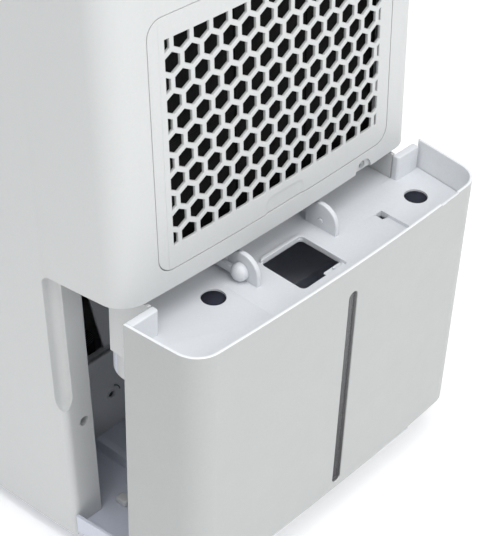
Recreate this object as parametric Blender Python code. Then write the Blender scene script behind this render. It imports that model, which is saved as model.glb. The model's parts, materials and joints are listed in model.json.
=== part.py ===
"""Portable compressor dehumidifier with a pull-out water bucket.

Metres, +Z up.  The front faces -Y, the floor is z = 0, and the middle of the front face is y = 0.
The bucket stands partly drawn out and leans forward a few degrees.
"""
import math

import bmesh
import bpy
from mathutils import Matrix, Vector

MM = 0.001

# ---- driving dimensions: cabinet ----
FRONT_RADIUS = 2941 * MM       # plan radius of the gently bowed front
SIDE_RADIUS = 2005 * MM        # plan radius of the bowed sides
HALF_WIDTH = 196.2 * MM        # widest half width of the cabinet
WIDEST_Y = 251 * MM            # where the sides are widest
DEPTH = 282 * MM
FRONT_CORNER = 26 * MM
REAR_CORNER = 38 * MM
WALL = 3 * MM
BASE_Z = 17 * MM               # underside of the base above the floor
FLOOR_Z = 30 * MM              # floor of the bucket bay
FLOOR_THICK = 3.5 * MM
LIP_Z = 44 * MM                # top of the lip under the closed bucket
LIP_LOW_Z = 22.6 * MM          # its lower edge, clear of the casters' wheels
SHELL_Z = 318 * MM             # lower edge of the upper front
TOP_Z = 602 * MM               # top edge of the housings
HEIGHT = 616 * MM
SPLIT_Y = 200 * MM             # parting plane of the front and rear housings
GAP = 0.3 * MM

# ---- bucket bay ----
STRIP_Y = 86 * MM              # front plane of the lower side posts
STRIP_HALF = 158 * MM          # half width of the clear way between the posts
POST_CORNER = 8 * MM
GRIP_FLOOR_X = 178.5 * MM
GRIP_BACK_Y = 96 * MM
GRIP_SCOOP = 8 * MM
GRIP_Z = (170 * MM, 316.5 * MM)

# ---- filter opening in the front ----
FRAME_HALF = 142.4 * MM
FRAME_Z = (336.5 * MM, 560 * MM)
FRAME_CORNER = 15 * MM
GRID_HALF = 126 * MM
GRID_Z = (358.5 * MM, 541 * MM)
CELL_PITCH = 20 * MM
CELL_WALL = 4.4 * MM
CELL_X0 = -39.1 * MM
CELL_Z0 = 450.6 * MM

# ---- bucket, in its closed and upright place ----
DRAWN_OUT = 68 * MM
LEAN = math.radians(3.22)
TIP_Y = 5 * MM                 # the line that the bucket tips about
TIP_Z = 46.7 * MM
COVER_Z = (46.7 * MM, 313.4 * MM)
COVER_BACK_Y = 82 * MM
COVER_WALL = 2.6 * MM
LID_Z = 283.5 * MM             # upper face of the lid
LID_THICK = 2.5 * MM
TANK_HALF = 153.5 * MM
TANK_FRONT_Y = 13 * MM
TANK_LOW_BACK_Y = 105 * MM
TANK_BACK_Y = 150 * MM
TANK_STEP_Z = 205 * MM
TANK_BOTTOM_Z = 50 * MM
TANK_WALL = 2.2 * MM
COLLAR_HALF = 157 * MM         # raised side walls at the back of the tank
COLLAR_Y = (86.3 * MM, 134 * MM)
COLLAR_Z = (234 * MM, 309.5 * MM)
EAR_X = 50.5 * MM
EAR_THICK = 5 * MM
EAR_Y = 80.5 * MM
EAR_Z = 291.5 * MM
EAR_RADIUS = 18 * MM
HANDLE_REACH = 46 * MM
WINDOW_Z = (55 * MM, 285 * MM)
WINDOW_WIDE = 11 * MM

# ---- casters ----
CASTER_X = 150 * MM
CASTER_Y = (42 * MM, 240 * MM)
WHEEL_RADIUS = 11 * MM


# ---------------------------------------------------------------- tools
def clear_scene():
    for old in list(bpy.data.objects):
        bpy.data.objects.remove(old, do_unlink=True)


def material(name, colour, roughness=0.45, metallic=0.0):
    mat = bpy.data.materials.new(name)
    mat.use_nodes = True
    shader = mat.node_tree.nodes["Principled BSDF"]
    shader.inputs["Base Color"].default_value = (*colour, 1.0)
    shader.inputs["Roughness"].default_value = roughness
    shader.inputs["Metallic"].default_value = metallic
    mat.diffuse_color = (*colour, 1.0)
    return mat


def finish(name, bm, mat, smooth=True):
    """Turn a bmesh into a named object with outward faces."""
    bmesh.ops.recalc_face_normals(bm, faces=bm.faces)
    mesh = bpy.data.meshes.new(name)
    bm.to_mesh(mesh)
    bm.free()
    obj = bpy.data.objects.new(name, mesh)
    bpy.context.collection.objects.link(obj)
    if mat is not None:
        mesh.materials.append(mat)
    if smooth:
        mesh.shade_smooth()
        mesh.set_sharp_from_angle(angle=math.radians(35))
    return obj


def loft(name, rings, mat=None, closed_ends=True):
    """Bridge equal rings of points into one closed solid."""
    bm = bmesh.new()
    rows = [[bm.verts.new(p) for p in ring] for ring in rings]
    count = len(rows[0])
    for low, high in zip(rows, rows[1:]):
        for i in range(count):
            j = (i + 1) % count
            bm.faces.new((low[i], low[j], high[j], high[i]))
    if closed_ends:
        bm.faces.new(rows[0][::-1])
        bm.faces.new(rows[-1])
    return finish(name, bm, mat)


def prism(name, outline, z0, z1, mat=None):
    rings = [[(x, y, z) for x, y in outline] for z in (z0, z1)]
    return loft(name, rings, mat)


def box(name, low, high, mat=None):
    x0, y0, z0 = low
    x1, y1, z1 = high
    return prism(name, [(x0, y0), (x1, y0), (x1, y1), (x0, y1)], z0, z1, mat)


def turned(name, profile, centre, axis="Z", mat=None, sides=24):
    """Solid of revolution; profile runs as (radius, height) pairs, and its ends lie on the axis."""
    bm = bmesh.new()
    rings = []
    for radius, height in profile:
        if radius < 1e-7:
            rings.append([bm.verts.new((0, 0, height))])
            continue
        ring = []
        for i in range(sides):
            turn = 2 * math.pi * i / sides
            ring.append(bm.verts.new((radius * math.cos(turn), radius * math.sin(turn), height)))
        rings.append(ring)
    for low, high in zip(rings, rings[1:]):
        for i in range(sides):
            j = (i + 1) % sides
            if len(low) == 1:
                bm.faces.new((low[0], high[i], high[j]))
            elif len(high) == 1:
                bm.faces.new((low[i], low[j], high[0]))
            else:
                bm.faces.new((low[i], low[j], high[j], high[i]))
    turns = {"X": Matrix.Rotation(math.pi / 2, 4, "Y"), "Z": Matrix.Identity(4)}
    turns["Y"] = Matrix.Rotation(-math.pi / 2, 4, "X")
    bmesh.ops.transform(bm, matrix=Matrix.Translation(centre) @ turns[axis], verts=bm.verts)
    return finish(name, bm, mat)


def rod(name, radius, length, centre, axis="Z", mat=None, sides=20):
    """Cylinder whose middle is at centre."""
    profile = [(0, -length / 2), (radius, -length / 2), (radius, length / 2), (0, length / 2)]
    return turned(name, profile, centre, axis, mat, sides)


def combine(target, other, operation):
    """Apply a Boolean of one object on another, and remove the other."""
    cut = target.modifiers.new("cut", "BOOLEAN")
    cut.operation = operation
    cut.object = other
    cut.solver = "EXACT"
    graph = bpy.context.evaluated_depsgraph_get()
    result = bpy.data.meshes.new_from_object(target.evaluated_get(graph))
    target.modifiers.clear()
    target.data = result
    bpy.data.objects.remove(other, do_unlink=True)
    result.shade_smooth()
    result.set_sharp_from_angle(angle=math.radians(35))
    return target


def subtract(target, *others):
    for other in others:
        combine(target, other, "DIFFERENCE")
    return target


def add(target, *others):
    for other in others:
        combine(target, other, "UNION")
    return target


def arc(cx, cy, radius, start, end, steps):
    points = []
    for i in range(steps + 1):
        turn = start + (end - start) * i / steps
        points.append((cx + radius * math.cos(turn), cy + radius * math.sin(turn)))
    return points


def mirrored(points):
    return [(-x, y) for x, y in reversed(points)]


def rounded_rectangle(x0, x1, z0, z1, radius, steps=5):
    corners = [(x1 - radius, z0 + radius, -90), (x1 - radius, z1 - radius, 0),
               (x0 + radius, z1 - radius, 90), (x0 + radius, z0 + radius, 180)]
    points = []
    for cx, cz, start in corners:
        points += arc(cx, cz, radius, math.radians(start), math.radians(start + 90), steps)
    return points


def front_y(x):
    return x * x / (2 * FRONT_RADIUS)


def side_x(y):
    return HALF_WIDTH - (y - WIDEST_Y) ** 2 / (2 * SIDE_RADIUS)


def front_corner_centre():
    """Centre of the corner arc that touches the front arc and the side arc."""
    cx = HALF_WIDTH - 2 * FRONT_CORNER
    cy = FRONT_CORNER
    for _ in range(40):
        side_slope = (cy - WIDEST_Y) / SIDE_RADIUS
        cx = side_x(cy) - FRONT_CORNER * math.hypot(1, side_slope)
        cy = front_y(cx) + FRONT_CORNER * math.hypot(1, cx / FRONT_RADIUS)
    return cx, cy


def half_outline(inset, back_y=None, front_steps=8, corner_steps=6, side_steps=6):
    """Right half of the plan outline, from the middle of the front back to back_y or all round."""
    cx, cy = front_corner_centre()
    front_turn = math.atan2(-1, cx / FRONT_RADIUS)
    side_turn = math.atan2((cy - WIDEST_Y) / SIDE_RADIUS, 1)
    side_centre = HALF_WIDTH - SIDE_RADIUS
    points = arc(0, FRONT_RADIUS, FRONT_RADIUS - inset, -math.pi / 2,
                 -math.pi / 2 + math.asin(cx / FRONT_RADIUS), front_steps)[:-1]
    points += arc(cx, cy, FRONT_CORNER - inset, front_turn, side_turn, corner_steps)
    if back_y is None:
        rear_y = DEPTH - REAR_CORNER
        end_turn = math.asin((rear_y - WIDEST_Y) / SIDE_RADIUS)
    else:
        end_turn = math.asin((back_y - WIDEST_Y) / (SIDE_RADIUS - inset))
    points += arc(side_centre, WIDEST_Y, SIDE_RADIUS - inset, side_turn, end_turn, side_steps)[1:]
    if back_y is None:
        rear_x = side_x(rear_y) - REAR_CORNER
        points += arc(rear_x, rear_y, REAR_CORNER - inset, 0, math.pi / 2, corner_steps)[1:]
    return points


def full_outline(inset, **options):
    right = half_outline(inset, **options)
    return mirrored(right[1:]) + right


def wall_section(outer_inset, thickness, back_y, **options):
    """Plan section of a wall that runs round the front, open at the back."""
    outer = full_outline(outer_inset, back_y=back_y, **options)
    inner = full_outline(outer_inset + thickness, back_y=back_y, **options)
    return outer + inner[::-1]


def bowed_slab(name, half_wide, z0, z1, y_front, y_back, mat=None, steps=14):
    """Slab that follows the bow of the front, from y_front to y_back behind the front face."""
    rings = []
    for i in range(steps + 1):
        x = -half_wide + 2 * half_wide * i / steps
        near = front_y(x) + y_front
        far = front_y(x) + y_back
        rings.append([(x, near, z0), (x, far, z0), (x, far, z1), (x, near, z1)])
    return loft(name, rings, mat)


def bow(flat, stations):
    """Slice a flat plate at the x stations, then bend it to the bow of the front."""
    bm = bmesh.new()
    bm.from_mesh(flat.data)
    for x in stations:
        parts = bm.verts[:] + bm.edges[:] + bm.faces[:]
        bmesh.ops.bisect_plane(bm, geom=parts, dist=1e-6, plane_co=(x, 0, 0), plane_no=(1, 0, 0))
    for vertex in bm.verts:
        vertex.co.y += front_y(vertex.co.x)
    bm.to_mesh(flat.data)
    bm.free()
    return flat


def bowed_panel(name, outline, y_front, y_back, mat=None):
    """Plate of the given XZ outline, cut out of a bowed slab."""
    xs = [p[0] for p in outline]
    zs = [p[1] for p in outline]
    half = max(max(xs), -min(xs))
    slab = bowed_slab(name, half + 5 * MM, min(zs) - 5 * MM, max(zs) + 5 * MM, y_front, y_back, mat)
    rings = [[(x, y, z) for x, z in outline] for y in (-0.05, 0.08)]
    return combine(slab, loft("trim", rings), "INTERSECT")


# ---------------------------------------------------------------- materials
def make_materials():
    return {
        "white": material("white_abs", (0.80, 0.81, 0.82), 0.32),
        "lid": material("white_pp", (0.78, 0.80, 0.84), 0.38),
        "grey": material("grey_pp", (0.16, 0.17, 0.19), 0.5),
        "dark": material("dark_plastic", (0.03, 0.03, 0.035), 0.4),
        "black": material("black_rubber", (0.015, 0.015, 0.015), 0.8),
        "lens": material("smoked_lens", (0.28, 0.29, 0.31), 0.2),
        "red": material("red_float", (0.28, 0.02, 0.02), 0.4),
        "steel": material("zinc_steel", (0.55, 0.55, 0.54), 0.35, 1.0),
        "copper": material("copper_tube", (0.72, 0.35, 0.2), 0.3, 1.0),
        "alloy": material("fin_alloy", (0.75, 0.76, 0.78), 0.35, 1.0),
        "paint": material("black_paint", (0.02, 0.02, 0.022), 0.35),
        "board": material("circuit_board", (0.02, 0.16, 0.06), 0.5),
    }


# ---------------------------------------------------------------- cabinet
def make_front_housing(mats):
    """Bowed front with both sides; its lower half is only two side posts with finger grooves."""
    section = wall_section(0, WALL, SPLIT_Y - GAP / 2)
    shell = prism("front_housing", section, BASE_Z, TOP_Z, mats["white"])
    shelf = bowed_slab("shelf", 150 * MM, FRAME_Z[0] - 6 * MM, FRAME_Z[1] + 6 * MM, 1.5 * MM, 6 * MM)
    add(shell, shelf)
    for side in (-1, 1):
        outer = side_x(STRIP_Y) - 1.5 * MM
        xs = sorted((side * STRIP_HALF, side * outer))
        add(shell, box("strip", (xs[0], 80 * MM, FLOOR_Z + GAP), (xs[1], STRIP_Y + 4 * MM, SHELL_Z + 4 * MM)))
        xs = sorted((side * (GRIP_FLOOR_X - WALL), side * outer))
        add(shell, box("grip_wall", (xs[0], 80.5 * MM, GRIP_Z[0] - 8 * MM),
                       (xs[1], GRIP_BACK_Y + WALL, SHELL_Z + 3 * MM)))
        add(shell, rod("boss", 7.5 * MM, 16 * MM, (side * POST_SCREW_X, 91 * MM, POST_SCREW_Z), "Y", sides=20))
    subtract(shell, prism("bay", bay_plan(), 0, SHELL_Z))
    for side in (-1, 1):
        subtract(shell, make_grip_cutter(side))
        subtract(shell, rod("recess", 5 * MM, 20 * MM, (side * POST_SCREW_X, 84 * MM, POST_SCREW_Z), "Y", sides=20))
    opening = rounded_rectangle(-FRAME_HALF - GAP, FRAME_HALF + GAP,
                                FRAME_Z[0] - GAP, FRAME_Z[1] + GAP, FRAME_CORNER)
    subtract(shell, bowed_panel("opening", opening, -0.01, 3.3 * MM))
    subtract(shell, box("duct", (-131 * MM, -0.01, FRAME_Z[0] + 12 * MM),
                        (131 * MM, 0.03, FRAME_Z[1] - 12 * MM)))
    subtract(shell, rod("notch", 11 * MM, 0.02, (NOTCH_X, 0.004, SHELL_Z), "Y", sides=16))
    add(shell, box("screw_tab", (NOTCH_X - 14 * MM, 4.6 * MM, SHELL_Z),
                   (NOTCH_X + 14 * MM, 7 * MM, SHELL_Z + 15 * MM)))
    return shell


def bay_plan():
    """Plan of what is cut away in front of the posts, with their outer corners left round."""
    radius = POST_CORNER
    middle_y = STRIP_Y + radius
    middle_x = side_x(STRIP_Y) - radius
    rounded = arc(middle_x, middle_y, radius, -math.pi / 2, 0, 5)
    right = [(0, STRIP_Y)] + rounded + [(0.25, middle_y), (0.25, -0.05)]
    return right + mirrored(right)[:-1]


NOTCH_X = 110 * MM
POST_SCREW_X = 168 * MM
POST_SCREW_Z = 148 * MM


def make_grip_cutter(side):
    """Finger groove down the front edge of a lower side, with a sloped lower end."""
    radius = GRIP_SCOOP
    plan = [(-0.22, 0.06), (-GRIP_FLOOR_X, 0.06)]
    plan += arc(-GRIP_FLOOR_X - radius, GRIP_BACK_Y - radius, radius, 0, math.pi / 2, 5)
    plan.append((-0.22, GRIP_BACK_Y))
    low, high = GRIP_Z
    bottom = [(x, y, low + (x + side_x(STRIP_Y)) * 0.8) for x, y in plan]
    top = [(x, y, high) for x, y in plan]
    rings = [[(side * -x, y, z) for x, y, z in ring] for ring in (bottom, top)]
    return loft("grip", rings)


def make_rear_housing(mats):
    outer = [p for p in half_outline(0) if p[1] > SPLIT_Y]
    inner = [p for p in half_outline(WALL) if p[1] > SPLIT_Y]
    start = SPLIT_Y + GAP / 2
    outer.insert(0, (side_x(start), start))
    inner.insert(0, (side_x(start) - WALL, start))
    section = outer + mirrored(outer) + mirrored(inner)[::-1] + inner[::-1]
    shell = prism("rear_housing", section, BASE_Z, TOP_Z, mats["white"])
    drain = rod("drain", 11 * MM, 0.03, (DRAIN_X, DEPTH, DRAIN_Z), "Y", sides=20)
    gland = rod("gland", 7 * MM, 0.03, (GLAND_X, DEPTH, GLAND_Z), "Y", sides=20)
    subtract(shell, drain, gland)
    for row in range(6):
        z = 430 * MM + row * 16 * MM
        outline = rounded_rectangle(-70 * MM, 70 * MM, z, z + 7 * MM, 3 * MM, 3)
        rings = [[(x, y, zz) for x, zz in outline] for y in (DEPTH - 0.01, DEPTH + 0.01)]
        subtract(shell, loft("vent", rings))
    return shell


DRAIN_X = -90 * MM
DRAIN_Z = 350 * MM
GLAND_X = 130 * MM
GLAND_Z = 75 * MM
OUTLET_X = 120 * MM
OUTLET_Y = (150 * MM, 250 * MM)
PANEL_X = 105 * MM
PANEL_Y = (35 * MM, 105 * MM)


def make_top_cover(mats):
    skin = 3 * MM
    edge = 10 * MM
    rings = []
    for inset, z in ((0.4 * MM, TOP_Z + GAP), (0.4 * MM, HEIGHT - edge * 0.7), (3 * MM, HEIGHT - edge * 0.25),
                     (8 * MM, HEIGHT)):
        rings.append([(x, y, z) for x, y in full_outline(inset, front_steps=6, corner_steps=4)])
    cover = loft("top_cover", rings, mats["white"])
    core = prism("core", full_outline(4 * MM, front_steps=6, corner_steps=4), TOP_Z - 0.01, HEIGHT - skin)
    subtract(cover, core)
    subtract(cover, box("outlet", (-OUTLET_X, OUTLET_Y[0], 0.6), (OUTLET_X, OUTLET_Y[1], 0.63)))
    subtract(cover, box("panel", (-PANEL_X, PANEL_Y[0], 0.6), (PANEL_X, PANEL_Y[1], 0.63)))
    return cover


def make_outlet_grille(mats):
    z0, z1 = HEIGHT - 7 * MM, HEIGHT - 1 * MM
    low = (-OUTLET_X + GAP, OUTLET_Y[0] + GAP, z0)
    high = (OUTLET_X - GAP, OUTLET_Y[1] - GAP, z1)
    grille = box("outlet_grille", low, high, mats["dark"])
    for row in range(6):
        y = OUTLET_Y[0] + 7 * MM + row * 15 * MM
        for side in (-1, 1):
            xs = sorted((side * 5 * MM, side * (OUTLET_X - 7 * MM)))
            subtract(grille, box("slot", (xs[0], y, z0 - 0.01), (xs[1], y + 11 * MM, z1 + 0.01)))
    return grille


def make_control_panel(mats):
    plate = box("control_panel", (-PANEL_X + GAP, PANEL_Y[0] + GAP, HEIGHT - 5 * MM),
                (PANEL_X - GAP, PANEL_Y[1] - GAP, HEIGHT - 0.6 * MM), mats["dark"])
    for x in BUTTON_X:
        subtract(plate, rod("hole", 7.4 * MM, 0.02, (x, BUTTON_Y, HEIGHT), sides=20))
    subtract(plate, box("lens_seat", (-32.3 * MM, 74.7 * MM, HEIGHT - 2.2 * MM),
                        (32.3 * MM, 97.3 * MM, HEIGHT + 0.01)))
    lens = box("display_lens", (-32 * MM, 75 * MM, HEIGHT - 1.9 * MM),
               (32 * MM, 97 * MM, HEIGHT - 0.5 * MM), mats["lens"])
    return plate, lens


BUTTON_NAMES = ("power", "mode", "fan", "down", "up", "timer")
BUTTON_X = [(-80 + 32 * i) * MM for i in range(6)]
BUTTON_Y = 54 * MM
BUTTON_TRAVEL = 1.2 * MM


def make_buttons(mats):
    for name, x in zip(BUTTON_NAMES, BUTTON_X):
        profile = [(0, -7 * MM), (7 * MM, -7 * MM), (7 * MM, 0.2 * MM), (6.2 * MM, 0.8 * MM), (0, 1.0 * MM)]
        turned("button_" + name, profile, (x, BUTTON_Y, HEIGHT), "Z", mats["grey"], 16)


def make_base_tray(mats):
    """Floor plate inside the housings, with the lip under the bucket and two slide rails."""
    plan = full_outline(WALL + GAP, front_steps=8, corner_steps=4)
    tray = prism("base_tray", plan, FLOOR_Z - FLOOR_THICK, FLOOR_Z, mats["white"])
    lip = prism("lip", wall_section(0.5 * MM, WALL + 0.2 * MM, STRIP_Y - GAP), LIP_LOW_Z, LIP_Z)
    add(tray, lip)
    for side in (-1, 1):
        xs = sorted((side * 98 * MM, side * 106 * MM))
        add(tray, box("rail", (xs[0], 2.5 * MM, FLOOR_Z - 1 * MM), (xs[1], 150 * MM, LIP_Z - 0.1 * MM)))
        for y in CASTER_Y:
            subtract(tray, rod("stem", 3.15 * MM, 0.02, (side * CASTER_X, y, FLOOR_Z), sides=12))
    return tray


# ---------------------------------------------------------------- intake
def clip(points, inside, cross):
    kept = []
    for a, b in zip(points, points[1:] + points[:1]):
        if inside(a):
            kept.append(a)
        if inside(a) != inside(b):
            kept.append(cross(a, b))
    return kept


def clip_to_grid(points):
    """Trim a cell to the straight border of the honeycomb field."""
    for axis, limit, sign in ((0, -GRID_HALF, 1), (0, GRID_HALF, -1), (1, GRID_Z[0], 1), (1, GRID_Z[1], -1)):
        def inside(p):
            return (p[axis] - limit) * sign >= 0

        def cross(a, b):
            t = (limit - a[axis]) / (b[axis] - a[axis])
            return tuple(a[i] + (b[i] - a[i]) * t for i in (0, 1))
        points = clip(points, inside, cross)
        if len(points) < 3:
            return []
    return points


def area(points):
    total = 0
    for a, b in zip(points, points[1:] + points[:1]):
        total += a[0] * b[1] - b[0] * a[1]
    return abs(total) / 2


def honeycomb_cells():
    """Pointy-top hexagons on a close-packed lattice, trimmed to the grille's border."""
    row_rise = CELL_PITCH * math.sqrt(3) / 2
    radius = (CELL_PITCH - CELL_WALL) / math.sqrt(3)
    cells = []
    for row in range(-7, 8):
        for column in range(-9, 12):
            cx = CELL_X0 + CELL_PITCH * (column + 0.5 * (row % 2))
            cz = CELL_Z0 + row_rise * row
            corners = []
            for k in range(6):
                turn = math.radians(30 + 60 * k)
                corners.append((cx + radius * math.cos(turn), cz + radius * math.sin(turn)))
            corners = clip_to_grid(corners)
            if corners and area(corners) > (2.5 * MM) ** 2:
                cells.append(corners)
    return cells


def make_filter_cover(mats):
    """Front grille: a bowed plate with a honeycomb field and a pull tab at its lower edge."""
    outline = []
    corners = rounded_rectangle(-FRAME_HALF, FRAME_HALF, FRAME_Z[0], FRAME_Z[1], FRAME_CORNER, 4)
    for a, b in zip(corners, corners[1:] + corners[:1]):
        pieces = max(1, round(abs(a[0] - b[0]) / (24 * MM)))
        outline += [(a[0] + (b[0] - a[0]) * i / pieces, a[1] + (b[1] - a[1]) * i / pieces) for i in range(pieces)]
    plate = loft("filter_cover", [[(x, y, z) for x, z in outline] for y in (0, 2.8 * MM)], mats["white"])
    bm = bmesh.new()
    for cell in honeycomb_cells():
        near = [bm.verts.new((x, -0.01, z)) for x, z in cell]
        far = [bm.verts.new((x, 0.01, z)) for x, z in cell]
        bm.faces.new(near)
        bm.faces.new(far[::-1])
        for i in range(len(cell)):
            j = (i + 1) % len(cell)
            bm.faces.new((near[j], near[i], far[i], far[j]))
    subtract(plate, finish("cells", bm, None))
    subtract(plate, box("pull", (-19 * MM, -0.01, 0.3), (25 * MM, 1.1 * MM, FRAME_Z[0] + 14 * MM)))
    return bow(plate, [(-105 + 35 * i) * MM for i in range(7)])


def make_filter_screen(mats):
    """Washable dust screen in its own thin frame, behind the grille."""
    screen = box("filter_screen", (-129 * MM, 10.5 * MM, 350.5 * MM), (129 * MM, 13 * MM, 546 * MM), mats["dark"])
    for column in range(3):
        for row in range(2):
            x = (-125 + 84.5 * column) * MM
            z = (354.5 + 95 * row) * MM
            subtract(screen, box("pane", (x, 0, z), (x + 80 * MM, 11.6 * MM, z + 91 * MM)))
    return screen


def make_coils(mats):
    box("evaporator", (-125 * MM, 36 * MM, 356 * MM), (118 * MM, 60 * MM, 560 * MM), mats["alloy"])
    box("condenser", (-125 * MM, 66 * MM, 356 * MM), (118 * MM, 92 * MM, 560 * MM), mats["alloy"])
    points = [(118.5, 79, 380), (162, 79, 380), (164, 84, 376), (164, 196, 376), (160, 200, 370), (128, 202, 345),
              (124, 204, 338), (124, 204, 322), (118, 208, 312), (66, 226, 296), (60, 226, 288), (60, 226, 234)]
    curve = bpy.data.curves.new("refrigerant_pipe", "CURVE")
    curve.dimensions = "3D"
    curve.bevel_depth = 4 * MM
    curve.bevel_resolution = 2
    curve.use_fill_caps = True
    spline = curve.splines.new("POLY")
    spline.points.add(len(points) - 1)
    for point, place in zip(spline.points, points):
        point.co = (*(c * MM for c in place), 1)
    pipe = bpy.data.objects.new("refrigerant_pipe", curve)
    bpy.context.collection.objects.link(pipe)
    curve.materials.append(mats["copper"])


def make_drip_tray(mats):
    tray = box("drip_tray", (-128 * MM, 33 * MM, 340 * MM), (124 * MM, 96 * MM, 353 * MM), mats["lid"])
    subtract(tray, box("pan", (-126 * MM, 35 * MM, 342 * MM), (122 * MM, 94 * MM, 0.36)))
    add(tray, rod("spout", 6 * MM, 22 * MM, (0, 60 * MM, 331 * MM), sides=16))
    subtract(tray, rod("bore", 4 * MM, 0.06, (0, 60 * MM, 335 * MM), sides=12))
    return tray


def make_deck(mats):
    """Shelf between the air path above and the bucket bay and compressor below."""
    plan = [(-180 * MM, 104 * MM), (180 * MM, 104 * MM), (180 * MM, 262 * MM), (-180 * MM, 262 * MM)]
    deck = prism("machine_deck", plan, 330 * MM, 333 * MM, mats["grey"])
    subtract(deck, rod("pipe_hole", 10 * MM, 0.05, (124 * MM, 204 * MM, 0.33), sides=16))
    return deck


def make_bay_wall(mats):
    """Wall between the bucket bay and the compressor: a low front panel, a ledge and a set-back upper panel."""
    wall = box("bay_wall", (-157 * MM, BAY_WALL_Y, FLOOR_Z + GAP), (157 * MM, BAY_WALL_Y + 3 * MM, 125 * MM),
               mats["grey"])
    add(wall, box("ledge", (-156.9 * MM, BAY_WALL_Y + 0.5 * MM, 122 * MM), (156.9 * MM, 174 * MM, 124.9 * MM)))
    slope = [(-68.3, 124), (156.8, 124), (156.8, 326), (-107.5, 326)]
    rings = [[(x * MM, y, z * MM) for x, z in slope] for y in (171.5 * MM, 174.1 * MM)]
    add(wall, loft("upper", rings))
    add(wall, rod("boss", 6 * MM, 7 * MM, (-72 * MM, 164.5 * MM, 73 * MM), "Y", sides=20))
    subtract(wall, rod("recess", 4 * MM, 4.5 * MM, (-72 * MM, 162.5 * MM, 73 * MM), "Y", sides=20))
    return wall


BAY_WALL_Y = 162.5 * MM


def make_fan(mats):
    centre = (0, 0, 455 * MM)
    shroud = box("fan_shroud", (-150 * MM, 98 * MM, 340 * MM), (150 * MM, 180 * MM, 570 * MM), mats["lid"])
    scroll = rod("scroll", 100 * MM, 0.074, (0, 139 * MM, centre[2]), "Y", sides=32)
    add(scroll, box("outlet", (-2 * MM, 102.5 * MM, centre[2]), (98 * MM, 175.5 * MM, 0.6)))
    subtract(shroud, scroll)
    subtract(shroud, rod("inlet", 70 * MM, 0.05, (0, 100 * MM, centre[2]), "Y", sides=32))
    subtract(shroud, rod("shaft", 8 * MM, 0.05, (0, 180 * MM, centre[2]), "Y", sides=16))
    wheel = make_fan_wheel(mats, centre[2])
    profile = [(0, -36 * MM), (5 * MM, -36 * MM), (5 * MM, -22.5 * MM), (34 * MM, -22.5 * MM), (36 * MM, -20 * MM),
               (36 * MM, 20 * MM), (34 * MM, 23 * MM), (0, 23 * MM)]
    motor = turned("fan_motor", profile, (0, 204 * MM, centre[2]), "Y", mats["paint"], 24)
    bracket = box("motor_bracket", (-60 * MM, 228 * MM, 440 * MM), (60 * MM, 231 * MM, 470 * MM), mats["steel"])
    for side in (-1, 1):
        xs = sorted((side * 56 * MM, side * 60 * MM))
        add(bracket, box("leg", (xs[0], 180.5 * MM, 440.2 * MM), (xs[1], 229 * MM, 469.8 * MM)))
    return shroud, wheel, motor, bracket


def make_fan_wheel(mats, z):
    """Blower wheel: back plate, hub, blades and front ring in one moulding."""
    profile = [(0, 145 * MM), (12 * MM, 145 * MM), (12 * MM, 163 * MM), (76 * MM, 163 * MM), (76 * MM, 112 * MM),
               (92 * MM, 112 * MM), (92 * MM, 166.5 * MM), (0, 166.5 * MM)]
    wheel = turned("fan_wheel", profile, (0, 0, z), "Y", mats["dark"], 36)
    bm = bmesh.new()
    blades = 18
    for i in range(blades):
        made = bmesh.ops.create_cube(bm, size=1)["verts"]
        shape = Matrix.Diagonal((19 * MM, 46 * MM, 26 * MM, 1))
        turn = Matrix.Rotation(2 * math.pi * (i + 0.3) / blades, 4, "Y")
        place = Matrix.Translation((0, 138 * MM, z)) @ turn @ Matrix.Translation((0, 0, 85 * MM))
        bmesh.ops.transform(bm, matrix=place @ shape, verts=made)
    return subtract(wheel, finish("gaps", bm, None))


def make_machine(mats):
    body = 48 * MM
    x, y = 60 * MM, 227 * MM
    profile = [(0, 39.5 * MM), (body - 8 * MM, 39.5 * MM), (body, 50 * MM), (body, 195 * MM),
               (body - 12 * MM, 216 * MM), (body - 32 * MM, 227 * MM), (0, 230 * MM)]
    turned("compressor", profile, (x, y, 0), "Z", mats["paint"], 28)
    box("compressor_foot_plate", (x - 50 * MM, y - 46 * MM, 36.2 * MM),
        (x + 50 * MM, y + 46 * MM, 39.2 * MM), mats["steel"])
    for name, dx, dy in (("left", -38, -30), ("right", 38, -30), ("rear", 0, 38)):
        rod("grommet_" + name, 7 * MM, 5.6 * MM, (x + dx * MM, y + dy * MM, 33.1 * MM), "Z", mats["black"], 14)
    rod("run_capacitor", 18 * MM, 70 * MM, (-60 * MM, 225 * MM, 65.3 * MM), "Z", mats["alloy"], 20)
    box("control_board", (-95 * MM, 30 * MM, 590 * MM), (95 * MM, 110 * MM, 592 * MM), mats["board"])
    for i in range(2):
        box(("board_bracket_left", "board_bracket_right")[i],
            ((-102, 96)[i] * MM, 30 * MM, 575 * MM), ((-96, 102)[i] * MM, 110 * MM, 600 * MM), mats["grey"])
    rod("humidity_sensor", 4 * MM, 10 * MM, (-105 * MM, 24 * MM, 575 * MM), "Z", mats["white"], 12)


def make_rear_fittings(mats):
    profile = [(0, -14 * MM), (9.5 * MM, -14 * MM), (9.5 * MM, 0.5 * MM), (15 * MM, 0.5 * MM),
               (15 * MM, 4 * MM), (13 * MM, 5.5 * MM), (0, 5.5 * MM)]
    turned("drain_cap", profile, (DRAIN_X, DEPTH, DRAIN_Z), "Y", mats["lid"], 20)
    profile = [(0, -8 * MM), (6.6 * MM, -8 * MM), (6.6 * MM, 0.4 * MM), (10 * MM, 0.4 * MM),
               (9 * MM, 5 * MM), (4 * MM, 5 * MM), (4 * MM, -2 * MM), (0, -2 * MM)]
    turned("cord_gland", profile, (GLAND_X, DEPTH, GLAND_Z), "Y", mats["dark"], 20)


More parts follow.
